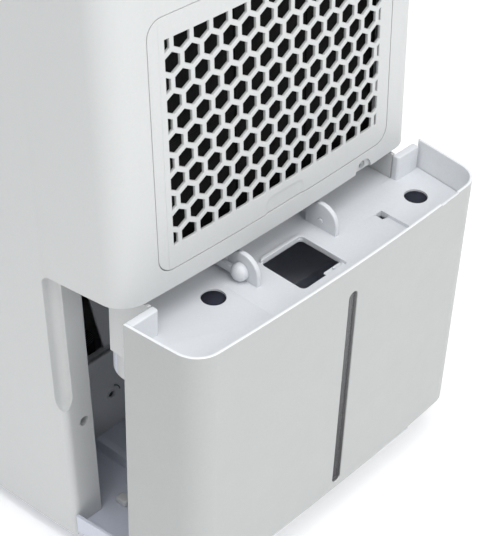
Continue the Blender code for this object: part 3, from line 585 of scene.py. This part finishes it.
def window_plastic(name):
    """Smoked lens, darker towards the bottom, with the dark channel of the gauge behind its right half."""
    low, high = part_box("level_window")
    g = Graph(name)
    split = g.node("SeparateXYZ")
    g.link(g.place, split.inputs["Vector"])
    climb = g.span(split.outputs["Z"], 0, 1, low.z + 0.02, high.z - 0.03)
    body = g.mix(climb, (0.06, 0.06, 0.066), (0.19, 0.193, 0.20))
    across = g.span(split.outputs["X"], 0, 1, -0.0052, 0.0052)
    ramp = g.node("ValToRGB")
    points = ramp.color_ramp
    points.elements[0].position = 0.0
    points.elements[0].color = (0.25, 0.25, 0.25, 1)
    points.elements[1].position = 1.0
    points.elements[1].color = (0.35, 0.35, 0.35, 1)
    for position, value in ((0.16, 0.0), (0.5, 0.12), (0.56, 0.8), (0.72, 0.75), (0.78, 0.3)):
        step = points.elements.new(position)
        step.color = (value, value, value, 1)
    g.link(across, ramp.inputs["Fac"])
    g.colour(g.mix(ramp.outputs["Color"], body, (0.025, 0.025, 0.028)))
    g.roughness(g.span(g.noise(70, 3), 0.12, 0.26, 0.3, 0.7))
    g.shader.inputs["Specular IOR Level"].default_value = 0.3
    g.shader.inputs["Alpha"].default_value = 0.55
    g.bump((g.noise(90, 2), 0.0001, 0.3))
    return g.mat


def screen_mesh(name):
    """Black filter gauze in a plastic rim."""
    g = Graph(name)
    waves = []
    for axis in ("X", "Z"):
        wave = g.node("TexWave", wave_type="BANDS", bands_direction=axis)
        wave.inputs["Scale"].default_value = 0.314 / 0.0014
        g.link(g.place, wave.inputs["Vector"])
        waves.append(wave.outputs["Fac"])
    threads = g.node("Math", operation="MAXIMUM")
    g.link(waves[0], threads.inputs[0])
    g.link(waves[1], threads.inputs[1])
    strands = g.span(threads.outputs["Value"], 0, 1, 0.75, 0.98)
    g.colour(g.mix(strands, (0.002, 0.002, 0.002), (0.006, 0.006, 0.0065)))
    g.roughness(g.span(g.noise(80, 3), 0.6, 0.8, 0.3, 0.7))
    g.shader.inputs["Specular IOR Level"].default_value = 0.15
    g.bump((threads.outputs["Value"], 0.0004, 0.7))
    return g.mat


def circuit_board(name):
    """Green laminate with lighter tracks between cells."""
    g = Graph(name)
    cells = g.node("TexVoronoi", feature="DISTANCE_TO_EDGE")
    cells.inputs["Scale"].default_value = 160
    g.link(g.place, cells.inputs["Vector"])
    tracks = g.span(cells.outputs["Distance"], 1, 0, 0.02, 0.06)
    g.colour(g.mix(tracks, (0.012, 0.11, 0.04), (0.05, 0.26, 0.09)))
    g.roughness(g.span(g.noise(150, 2), 0.3, 0.5, 0.3, 0.7))
    g.bump((tracks, 0.0001, 0.5))
    return g.mat


white = moulded("white_moulding", (0.60, 0.611, 0.611), 0.40)
# a darker copy of the white moulding for the bucket cover: painted shade
cover_white_painted_shade = moulded("cover_painted_shade_moulding", (0.455, 0.465, 0.462), 0.42)
lid_white = moulded("lid_moulding", (0.69, 0.71, 0.74), 0.36)
# a brighter copy of the cover's white for its rim tops and inner wall: painted highlight and painted light
rim_white_painted_highlight = moulded("rim_painted_highlight_moulding", (0.80, 0.815, 0.835), 0.36)
tank_white = moulded("tank_moulding", (0.66, 0.67, 0.67), 0.42)
dark = moulded("dark_trim_moulding", (0.03, 0.03, 0.035), 0.42, 0.9)
inner = moulded("inner_grey_moulding", (0.66, 0.675, 0.70), 0.5, 0.8)
key_grey = moulded("key_grey_moulding", (0.11, 0.115, 0.125), 0.5, 0.6)
lens = window_plastic("smoked_window")
float_red = moulded("float_red_moulding", (0.42, 0.015, 0.03), 0.35)
paint = moulded("black_enamel", (0.02, 0.02, 0.022), 0.28, 0.3)
rubber = moulded("black_rubber_moulding", (0.02, 0.02, 0.021), 0.75, 1.0)
tyre = moulded("tyre_moulding", (0.09, 0.09, 0.095), 0.6, 1.0)
# the second colour is the painted shade in the gaps between the fins
fins = banded("aluminium_fins", (0.62, 0.63, 0.65), (0.02, 0.02, 0.022), 0.0018, "X", 0.9, 0.42)
copper = metal("drawn_copper", (0.72, 0.33, 0.19), 0.32, (1, 1, 1))
zinc = metal("zinc_plate", (0.56, 0.57, 0.58), 0.36, (1, 6, 1))
gauze = screen_mesh("filter_gauze")
board = circuit_board("green_laminate")
# bluish tone for the tank's inner faces: painted shade of the interior
tank_inside_painted_shade = moulded("tank_inside_painted_shade_moulding", (0.80, 0.83, 0.92), 0.4, 0.5)
# near-black discs under the vents: painted shade seen through them
vent_painted_shade = moulded("vent_shade_disc", (0.03, 0.032, 0.046), 0.9, 1.0, 0.1)
# darker bluish tone for the bay floor: painted shade
bay_floor_painted_shade = moulded("bay_floor_painted_shade_moulding", (0.62, 0.65, 0.74), 0.42, 0.5)
dark_zinc = metal("dark_zinc_plate", (0.10, 0.10, 0.11), 0.4, (1, 6, 1))
NODE_FINISH = {"filter_screen": gauze, "base_tray": bay_floor_painted_shade, "post_screw_left": dark_zinc,
               "post_screw_right": dark_zinc, "bay_screw": dark_zinc}
SLOT_FINISH = {
    "white_shell": white, "white_bucket": lid_white, "dark_trim": dark, "grey_inner": inner,
    "smoked_lens": lens, "red_float": float_red, "fin_alloy": fins, "copper_tube": copper,
    "black_paint": paint, "zinc_steel": zinc, "green_board": board, "black_rubber": rubber,
    "caster_tyre": tyre,
}
NODE_SLOT = {part["node"]: part["material_slot"] for part in frame["record"]["subparts"]}


def finish_frame_nodes():
    """Every CAD node that stays in view gets its slot's finish and moulded edges."""
    for name, node in frame["nodes"].items():
        if node.hide_render:
            continue
        mat = NODE_FINISH.get(name, SLOT_FINISH[NODE_SLOT[name]])
        if name.startswith("button_"):
            mat = key_grey
        node.data.materials.clear()
        node.data.materials.append(mat)
        for polygon in node.data.polygons:
            polygon.use_smooth = True
        weld = node.modifiers.new("weld", "WELD")
        weld.merge_threshold = 0.00001
        plane = node.modifiers.new("plane", "DECIMATE")
        plane.decimate_type = "DISSOLVE"
        plane.angle_limit = math.radians(0.2)
        low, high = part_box(name)
        smallest = min(high - low)
        rounded_edges(node, min(0.5 * MM, smallest * 0.08), 2)


# ---------------------------------------------------------------- cabinet
def make_front_shell():
    """Bowed front with both sides; its lower half is only two side posts with finger grooves."""
    shell = prism("front_shell", wall_section(0, WALL, SPLIT_Y - GAP / 2, **FINE), BASE_Z, TOP_Z)
    shelf_z = (FRAME_Z[0] - 6 * MM, FRAME_Z[1] + 6 * MM)
    add(shell, bowed_slab("shelf", 150 * MM, *shelf_z, 1.5 * MM, 6 * MM, steps=28))
    outer = side_x(STRIP_Y) - 1.5 * MM
    for side in (-1, 1):
        xs = sorted((side * STRIP_HALF, side * outer))
        add(shell, box("strip", (xs[0], 80 * MM, FLOOR_Z + GAP),
                       (xs[1], STRIP_Y + 4 * MM, SHELL_Z + 4 * MM)))
        xs = sorted((side * (GRIP_FLOOR_X - WALL), side * outer))
        add(shell, box("grip_wall", (xs[0], 80.5 * MM, GRIP_Z[0] - 8 * MM),
                       (xs[1], GRIP_BACK_Y + WALL, SHELL_Z + 3 * MM)))
        boss_place = (side * POST_SCREW_X, 91 * MM, POST_SCREW_Z)
        add(shell, rod("boss", 7.5 * MM, 16 * MM, boss_place, "Y", sides=32))
    subtract(shell, prism("bay", bay_plan(), 0, SHELL_Z))
    for side in (-1, 1):
        subtract(shell, make_grip_cutter(side))
        recess_place = (side * POST_SCREW_X, 84 * MM, POST_SCREW_Z)
        subtract(shell, rod("recess", 5 * MM, 20 * MM, recess_place, "Y", sides=32))
    seam = 0.6 * MM
    opening = rounded_rectangle(-FRAME_HALF - seam, FRAME_HALF + seam,
                                FRAME_Z[0] - seam, FRAME_Z[1] + seam, FRAME_CORNER, 12)
    subtract(shell, bowed_panel("opening", opening, -0.01, 3.3 * MM))
    subtract(shell, box("duct", (-131 * MM, -0.01, FRAME_Z[0] + 12 * MM),
                        (131 * MM, 0.03, FRAME_Z[1] - 12 * MM)))
    subtract(shell, rod("notch", 11 * MM, 0.02, (NOTCH_X, 0.004, SHELL_Z), "Y", sides=40))
    add(shell, box("screw_tab", (NOTCH_X - 14 * MM, 4.6 * MM, SHELL_Z),
                   (NOTCH_X + 14 * MM, 7 * MM, SHELL_Z + 15 * MM)))
    sharp_shading(cleaned(shell))
    return dress(shell, white, "cabinet", "white_shell", "front_housing")


def bay_plan():
    """Plan of what is cut away in front of the posts, with their outer corners left round."""
    middle_y = STRIP_Y + POST_CORNER
    middle_x = side_x(middle_y) - POST_CORNER + 0.02 * MM
    rounded = arc(middle_x, middle_y, POST_CORNER, -math.pi / 2, 0, 12)
    right = [(0, STRIP_Y)] + rounded + [(0.25, middle_y), (0.25, -0.05)]
    return right + mirrored(right)[:-1]


def make_grip_cutter(side):
    """Finger groove down the front edge of a lower side, rounded at its top and scooped out at its foot."""
    low, high = GRIP_Z
    deep_x = side_x(STRIP_Y) - GRIP_FLOOR_X
    deep_y = GRIP_BACK_Y - STRIP_Y
    rings = []
    for turn in (0.02, 0.2, 0.4, 0.6, 0.8, 1.0):
        reach = math.sin(turn * math.pi / 2)
        rings.append((reach, low + 15 * MM * (1 - math.cos(turn * math.pi / 2))))
    for turn in (1.0, 0.8, 0.6, 0.4, 0.2, 0.05):
        reach = math.sin(turn * math.pi / 2)
        rings.append((0.35 + 0.65 * reach, high - 7 * MM * (1 - math.cos(turn * math.pi / 2))))
    loops = []
    for reach, z in rings:
        floor_x = side_x(STRIP_Y) - deep_x * reach
        back_y = STRIP_Y + deep_y * reach
        radius = GRIP_SCOOP * reach
        plan = [(0.22, 0.06), (floor_x, 0.06)]
        plan += arc(floor_x + radius, back_y - radius, radius, math.pi, math.pi / 2, 12)
        plan.append((0.22, back_y))
        loops.append([(side * x, y, z) for x, y in plan])
    return loft("grip", loops)


# ---------------------------------------------------------------- intake grille
def make_grille():
    """Front grille: a bowed plate with a honeycomb field and a scooped pull at its lower edge."""
    outline = rounded_rectangle(-FRAME_HALF, FRAME_HALF, FRAME_Z[0], FRAME_Z[1], FRAME_CORNER, 10)
    plate = loft("intake_grille", [[(x, y, z) for x, z in outline] for y in (0, 2.8 * MM)])
    bm = bmesh.new()
    for cell in honeycomb_cells():
        near = [bm.verts.new((x, -0.01, z)) for x, z in cell]
        far = [bm.verts.new((x, 0.01, z)) for x, z in cell]
        bm.faces.new(near)
        bm.faces.new(far[::-1])
        for i in range(len(cell)):
            j = (i + 1) % len(cell)
            bm.faces.new((near[j], near[i], far[i], far[j]))
    subtract(plate, finish("cells", bm, None))
    rings = []
    for y, spread in ((-1 * MM, 4 * MM), (0, 2.6 * MM), (0.8 * MM, 0.6 * MM), (1.1 * MM, -2 * MM)):
        scoop = rounded_rectangle(-19 * MM - spread, 25 * MM + spread, FRAME_Z[0] - 10 * MM,
                                  FRAME_Z[0] + 13 * MM + spread, 6 * MM + spread, 8)
        rings.append([(x, y, z) for x, z in scoop])
    subtract(plate, loft("pull", rings))
    bow(plate, [(-132 + 12 * i) * MM for i in range(23)])
    rounded_edges(cleaned(plate), 0.45 * MM, 2, 40)
    return dress(plate, white, "filter", "white_shell", "filter_cover")


# ---------------------------------------------------------------- bucket
def make_bucket_front():
    """Bucket's outer cover with a rounded rim and the window slot."""
    rings = []
    for inset, lost, z in ((0.9, 1.2, 0), (0.3, 0, 0.8)):
        rings.append((inset, lost, COVER_Z[0] + z * MM))
    for k in range(5):
        turn = math.pi / 2 * k / 4
        rings.append((0.3 + 0.8 * (1 - math.cos(turn)), 1.4 * (1 - math.cos(turn)),
                      COVER_Z[1] - 0.8 * MM + 0.8 * MM * math.sin(turn)))
    sections = []
    for inset, lost, z in rings:
        plan = wall_section(inset * MM, COVER_WALL - lost * MM, COVER_BACK_Y, **FINE)
        sections.append([(x, y, z) for x, y in plan])
    cover = loft("bucket_front", sections)
    floor = prism("floor", full_outline(0.9 * MM, back_y=COVER_BACK_Y - 0.5 * MM, **FINE),
                  COVER_Z[0] + 0.1 * MM, COVER_Z[0] + 2.6 * MM)
    add(cover, floor)
    slot = rounded_rectangle(-WINDOW_WIDE / 2, WINDOW_WIDE / 2, *WINDOW_Z, 5.4 * MM, 12)
    subtract(cover, loft("slot", [[(x, y, z) for x, z in slot] for y in (-0.01, 0.01)]))
    notch_low, notch_high = COVER_Z[1] - 1.6 * MM, COVER_Z[1] + 4 * MM
    notch = [(121 * MM, notch_low), (145 * MM, notch_low), (147 * MM, notch_high), (119 * MM, notch_high)]
    subtract(cover, loft("latch_notch", [[(x, y, z) for x, z in notch] for y in (-0.01, 0.02)]))
    rounded_edges(cleaned(cover), 0.6 * MM, 3, 50)
    # the cover takes the darker copy of the white moulding: painted shade
    dress(cover, cover_white_painted_shade, "bucket", "white_shell", "bucket_cover")
    # upward faces and faces turned inward take the brighter copy: painted highlight on the rim, painted light
    # on the inner wall
    cover.data.materials.append(rim_white_painted_highlight)
    for polygon in cover.data.polygons:
        x, y, _ = polygon.center
        inward = polygon.normal.dot(Vector((x, y - 0.14, 0)).normalized()) < -0.3
        if inward or polygon.normal.z > 0.5:
            polygon.material_index = 1
    return cover


def tank_plan(half, front, back, front_radius, back_radius):
    """Plan of the tank: small corners in front, and wide soft ones at the back."""
    right = arc(half - front_radius, front + front_radius, front_radius, -math.pi / 2, 0, 12)
    right += arc(half - back_radius, back - back_radius, back_radius, 0, math.pi / 2, 12)
    return mirrored(right) + right


def make_tank():
    """Translucent-white water tank, deeper at its front, with raised side walls at its back."""
    top = LID_Z - LID_THICK - GAP
    low, high = COLLAR_Z
    tank = prism("water_tank", tank_plan(TANK_HALF, TANK_FRONT_Y, TANK_LOW_BACK_Y, 18 * MM, 18 * MM),
                 TANK_BOTTOM_Z, top)
    upper = tank_plan(TANK_HALF - 0.01 * MM, TANK_FRONT_Y + 0.01 * MM, TANK_BACK_Y + 3 * MM, 18 * MM, 30 * MM)
    add(tank, prism("upper", upper, TANK_STEP_Z, top - 0.001 * MM))
    for side in (-1, 1):
        xs = sorted((side * (TANK_HALF - TANK_WALL + 0.3 * MM), side * COLLAR_HALF))
        collar = [(xs[0], COLLAR_Y[0]), (xs[1], COLLAR_Y[0]), (xs[1], COLLAR_Y[1]), (xs[0], COLLAR_Y[1])]
        add(tank, prism("collar", collar, low, top - 0.002 * MM))
        xs = sorted((side * (TANK_HALF + 0.3 * MM), side * (COLLAR_HALF - 0.01 * MM)))
        add(tank, box("cheek", (xs[0], COLLAR_Y[0] + 0.01 * MM, low + 5 * MM),
                      (xs[1], COLLAR_Y[1] - 0.01 * MM, high)))
    low_plan = tank_plan(TANK_HALF - TANK_WALL, TANK_FRONT_Y + TANK_WALL,
                         TANK_LOW_BACK_Y - TANK_WALL, 16 * MM, 16 * MM)
    high_plan = tank_plan(TANK_HALF - TANK_WALL - 0.01 * MM, TANK_FRONT_Y + TANK_WALL + 0.01 * MM,
                          TANK_BACK_Y + 3 * MM - TANK_WALL, 16 * MM, 28 * MM)
    hollow = prism("hollow", low_plan, TANK_BOTTOM_Z + TANK_WALL, 0.4)
    subtract(tank, add(hollow, prism("deep", high_plan, TANK_STEP_Z + TANK_WALL, 0.4)))
    sharp_shading(cleaned(tank))
    dress(tank, tank_white, "bucket", "white_bucket", "bucket_tank")
    # the inner faces take the bluish tone: painted shade inside the tank
    tank.data.materials.append(tank_inside_painted_shade)
    for polygon in tank.data.polygons:
        x, y, z = polygon.center
        inside = abs(x) < TANK_HALF - 1.5 * MM and TANK_FRONT_Y + 1.5 * MM < y < TANK_BACK_Y - 1.5 * MM
        if inside and TANK_BOTTOM_Z + 1.5 * MM < z < top - 0.5 * MM:
            back = TANK_LOW_BACK_Y if z < TANK_STEP_Z else TANK_BACK_Y
            if y < back - 1.5 * MM or z > TANK_STEP_Z + 1.5 * MM:
                polygon.material_index = 1
    return tank


def make_lid():
    """Splash lid: filling hole with raised lips, two vents, a slot, shoulders and the handle's ears."""
    base = LID_Z - LID_THICK
    lid = prism("splash_lid", full_outline(COVER_WALL + 0.9 * MM, back_y=85.6 * MM, **FINE), base, LID_Z)
    rear = rounded_rectangle(-TANK_HALF, TANK_HALF, 60 * MM, TANK_BACK_Y + 1.5 * MM, 18 * MM, 12)
    add(lid, prism("rear", rear, base + 0.002 * MM, LID_Z - 0.002 * MM))
    add(lid, raised_border())
    opening = rounded_rectangle(-27 * MM, 25 * MM, 33 * MM, 83 * MM, 5 * MM, 8)
    subtract(lid, prism("filler", opening, 0.2, 0.3))
    for _, x, y in VENTS:
        subtract(lid, rod("vent", VENT_RADIUS, 0.02, (x, y, LID_Z), sides=48))
    add(lid, box("pocket", (94 * MM, 22 * MM, LID_Z - 6 * MM), (110 * MM, 62 * MM, LID_Z - 1 * MM)))
    ramp = [(95 * MM, LID_Z + 0.1 * MM), (108 * MM, LID_Z - 3.4 * MM),
            (108 * MM, LID_Z + 6 * MM), (95 * MM, LID_Z + 6 * MM)]
    subtract(lid, loft("slot", [[(x, y, z) for x, z in ramp] for y in (25 * MM, 59 * MM)]))
    subtract(lid, box("slot_hole", (100 * MM, 51 * MM, 0.27), (107.9 * MM, 58.9 * MM, 0.3)))
    crease = [(-71.5 * MM, LID_Z + 0.05 * MM), (-70 * MM, LID_Z - 0.6 * MM), (-68 * MM, LID_Z + 0.05 * MM)]
    subtract(lid, loft("crease", [[(x, y, z) for x, z in crease] for y in (28 * MM, 84 * MM)]))
    subtract(lid, box("notch", (-181 * MM, 66.5 * MM, LID_Z - 0.8 * MM), (-168 * MM, 67.3 * MM, 0.3)))
    for side in (-1, 1):
        inside = arc(155.6 * MM, 80.6 * MM, 2.6 * MM, math.pi, math.pi * 1.5, 6)
        corners = [(183 * MM, 78 * MM), (183 * MM, 85.5 * MM), (153 * MM, 85.5 * MM)]
        plan = [(side * x, y) for x, y in inside + corners]
        add(lid, softened(prism("shoulder", plan, LID_Z - 2 * MM, 309.5 * MM), 1.2 * MM, 3, 60))
        add(lid, softened(make_ear(side), 0.9 * MM, 3, 50))
        subtract(lid, rod("pivot", 3.1 * MM, 0.02, (side * EAR_X, EAR_Y, EAR_Z), "X", sides=24))
    lips = rounded_rectangle(-27.2 * MM, 28.5 * MM, 30 * MM, 86.5 * MM, 6 * MM, 8)
    ring = prism("lips", lips, LID_Z - 1 * MM, LID_Z + 3 * MM)
    subtract(ring, prism("inside", rounded_rectangle(-60 * MM, 25.1 * MM, 0, 83.1 * MM, 4 * MM, 8), 0.2, 0.3))
    add(lid, softened(ring, 1.3 * MM, 4, 50))
    ledge = rounded_rectangle(3 * MM, 25.5 * MM, 30 * MM, 37.5 * MM, 1.5 * MM, 4)
    add(lid, prism("ledge", ledge, LID_Z - 2.4 * MM, LID_Z - 1.2 * MM))
    add(lid, rod("peg", 1.3 * MM, 2 * MM, (14 * MM, 35 * MM, LID_Z - 0.6 * MM), sides=16))
    sharp_shading(cleaned(lid))
    return dress(lid, lid_white, "bucket", "white_bucket", "bucket_lid")


def raised_border():
    """Low raised border of the lid, with a soft slope on its inner side, wider beside the right shoulder."""
    rings = []
    for wide, z in ((12, -1), (12, 0), (9, 0.7), (8.4, 0.75)):
        outer = full_outline(COVER_WALL + 1.0 * MM, back_y=85.5 * MM, **FINE)
        inner = half_outline(COVER_WALL + (1 + wide) * MM, back_y=(78 - wide) * MM, **FINE)
        step = wide * MM
        inner = inner + [(153 * MM - step, 78 * MM - step), (153 * MM - step, 85.5 * MM)]
        left = full_outline(COVER_WALL + (1 + wide) * MM, back_y=85.5 * MM, **FINE)[:len(outer) // 2]
        rings.append([(x, y, LID_Z + z * MM) for x, y in outer + inner[::-1] + left[::-1]])
    return loft("band", rings)


def make_ear(side):
    """Upright half-round ear that carries one end of the handle."""
    base = LID_Z - 1.5 * MM
    outline = [(EAR_Y + EAR_RADIUS, base)] + arc(EAR_Y, EAR_Z, EAR_RADIUS, 0, math.pi, 32)
    outline.append((EAR_Y - EAR_RADIUS, base))
    xs = sorted((side * (EAR_X - EAR_THICK / 2), side * (EAR_X + EAR_THICK / 2)))
    return loft("ear", [[(x, y, z) for y, z in outline] for x in xs])


def make_handle():
    """Swing handle folded back over the lid: a bar, two arms and their domed pivot ends."""
    near = EAR_X + EAR_THICK / 2 + GAP
    far = near + 5 * MM
    bar_y = EAR_Y + HANDLE_REACH
    bar = box("swing_handle", (-far, bar_y - 5 * MM, EAR_Z - 4 * MM), (far, bar_y + 5 * MM, EAR_Z + 3 * MM))
    for side in (-1, 1):
        xs = sorted((side * near, side * (far + 0.01 * MM)))
        add(bar, box("arm", (xs[0], EAR_Y, EAR_Z - 4.01 * MM), (xs[1], bar_y, EAR_Z + 3.01 * MM)))
    softened(bar, 1.2 * MM, 3, 50)
    for side in (-1, 1):
        profile = [(0, 0), (8.4 * MM, 0), (8.4 * MM, 2.5 * MM)]
        for turn in (0.2, 0.4, 0.6, 0.8, 1.0, 1.2, 1.4):
            profile.append((8.4 * MM * math.cos(turn), 2.5 * MM + 7.5 * MM * math.sin(turn)))
        profile.append((0, 10 * MM))
        centre = (side * near, EAR_Y, EAR_Z + 0.7 * MM)
        add(bar, turned("boss", [(r, side * h) for r, h in profile], centre, "X", sides=40))
        add(bar, rod("pin", 2.8 * MM, 8 * MM, (side * (near - 2.5 * MM), EAR_Y, EAR_Z), "X", sides=24))
    rounded_edges(cleaned(bar), 0.4 * MM, 2, 50)
    return dress(bar, lid_white, "handle", "white_bucket", "carry_handle")


def make_window():
    """Level window with a domed face and the rails of the gauge behind it."""
    half = WINDOW_WIDE / 2 - GAP
    z0, z1 = WINDOW_Z[0] + GAP, WINDOW_Z[1] - GAP
    face = rounded_rectangle(-half, half, z0, z1, 5 * MM, 12)
    window = loft("gauge_window", [[(x, y, z) for x, z in face] for y in (0.9 * MM, 3.2 * MM)])
    for side in (-1, 1):
        xs = sorted((side * 7.5 * MM, side * 4.6 * MM))
        add(window, box("rail", (xs[0], 3.01 * MM, z0), (xs[1], 12 * MM, LID_Z - 5 * MM)))
    add(window, box("foot", (-7.4 * MM, 3.02 * MM, z0 + 0.01 * MM), (7.4 * MM, 11.9 * MM, z0 + 3 * MM)))
    rounded_edges(cleaned(window), 0.4 * MM, 3, 50)
    return dress(window, lens, "bucket", "smoked_lens", "level_window")


def make_vent_shade_discs():
    """Dark discs under the lid's two vents: painted shade seen through the vents."""
    made = []
    radius = VENT_RADIUS - 0.2 * MM
    profile = [(0, -0.5 * MM), (radius, -0.5 * MM), (radius, 0), (0, 0.1 * MM)]
    for name, x, y in VENTS:
        disc = turned("vent_shade_disc_" + name, profile, (x, y, LID_Z - 1.9 * MM), "Z", sides=40)
        made.append(dress(disc, vent_painted_shade, "bucket", "dark_trim"))
    return made


def make_bay_details():
    """Dark curved strip painted as the shade inside the relief slit beside the bay wall's screw, and the stop
    tab on the bay floor.
    """
    wall_low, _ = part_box("bay_wall")
    cx, cz = -72 * MM, 73 * MM
    rings = []
    for i in range(13):
        turn = math.radians(8 + 62 * i / 12)
        ring = []
        for radius, y in ((10.0, -0.15), (11.0, -0.15), (11.0, 0.4), (10.0, 0.4)):
            x = cx + radius * MM * math.cos(turn)
            z = cz + radius * MM * math.sin(turn)
            ring.append((x, wall_low.y + y * MM, z))
        rings.append(ring)
    # the slit is a thin dark strip on the wall face, painted shade for the slit
    dress(loft("relief_slit_painted_shade", rings), dark, "cabinet", "dark_trim")
    tab = prism("stop_tab", rounded_rectangle(-143 * MM, -133 * MM, 70 * MM, 84 * MM, 3 * MM, 6),
                FLOOR_Z + GAP, FLOOR_Z + 7 * MM)
    softened(tab, 1.5 * MM, 3, 50)
    dress(tab, white, "cabinet", "white_shell")


def pose_bucket(pieces):
    """Draw the bucket's pieces out along -Y and lean them about the tip line."""
    pivot = Vector((0, TIP_Y, TIP_Z))
    place = Matrix.Translation((0, -DRAWN_OUT, 0)) @ Matrix.Translation(pivot)
    place = place @ Matrix.Rotation(LEAN, 4, "X") @ Matrix.Translation(-pivot)
    for piece in pieces:
        piece.data.transform(place)


# ---------------------------------------------------------------- studio
def make_floor():
    """Pale paper that fades to white, under and behind the object."""
    bm = bmesh.new()
    bmesh.ops.create_grid(bm, x_segments=2, y_segments=2, size=4)
    floor = finish("studio_floor", bm, None)
    g = Graph("studio_paper")
    g.colour(g.mix(g.noise(3, 2), (0.92, 0.92, 0.92), (0.94, 0.94, 0.94)))
    g.roughness(g.span(g.noise(40, 2), 0.85, 0.95))
    g.shader.inputs["Specular IOR Level"].default_value = 0.1
    g.shader.inputs["Emission Color"].default_value = (1, 1, 1, 1)
    g.shader.inputs["Emission Strength"].default_value = 0.22
    floor.data.materials.append(g.mat)


def soft_light(name, place, target, size, watts):
    lamp = bpy.data.lights.new(name, "AREA")
    lamp.shape = "RECTANGLE"
    lamp.size, lamp.size_y = size
    lamp.energy = watts
    holder = bpy.data.objects.new(name, lamp)
    bpy.context.scene.collection.objects.link(holder)
    holder.location = place
    holder.rotation_euler = (Vector(target) - Vector(place)).to_track_quat("-Z", "Y").to_euler()


def make_studio():
    world = bpy.data.worlds.new("studio")
    world.use_nodes = True
    background = world.node_tree.nodes["Background"]
    background.inputs["Color"].default_value = (0.98, 0.99, 1.0, 1)
    background.inputs["Strength"].default_value = 0.6
    bpy.context.scene.world = world
    make_floor()
    soft_light("top_light", (-0.4, -0.5, 2.4), (0, 0.05, 0.3), (1.8, 1.8), 28)
    soft_light("front_light", (0.3, -2.2, 1.7), (0, 0, 0.45), (1.8, 1.2), 21)
    soft_light("left_light", (-1.9, -0.6, 1.7), (0, 0, 0.3), (1.2, 1.2), 1.5)


def make_camera():
    lens_data = bpy.data.cameras.new("camera")
    lens_data.sensor_fit = "HORIZONTAL"
    lens_data.sensor_width = 36
    lens_data.lens = 108.76
    lens_data.clip_start = 0.05
    lens_data.clip_end = 20
    camera = bpy.data.objects.new("camera", lens_data)
    bpy.context.scene.collection.objects.link(camera)
    right = Vector((0.68526, -0.72823, -0.00958))
    up = Vector((0.43725, 0.40085, 0.80507))
    back = Vector((-0.58244, -0.55587, 0.59311))
    turn = Matrix((right, up, back)).transposed()
    camera.matrix_world = Matrix.Translation((-0.7927, -0.7167, 1.0565)) @ turn.to_4x4()
    bpy.context.scene.camera = camera
    bpy.context.scene.view_settings.view_transform = "Standard"


def build():
    make_camera()
    make_studio()
    make_bay_details()
    moved = [make_bucket_front(), make_tank(), make_lid(), make_handle(), make_window()]
    pose_bucket(moved + make_vent_shade_discs())
    make_front_shell()
    make_grille()
    finish_frame_nodes()


build()
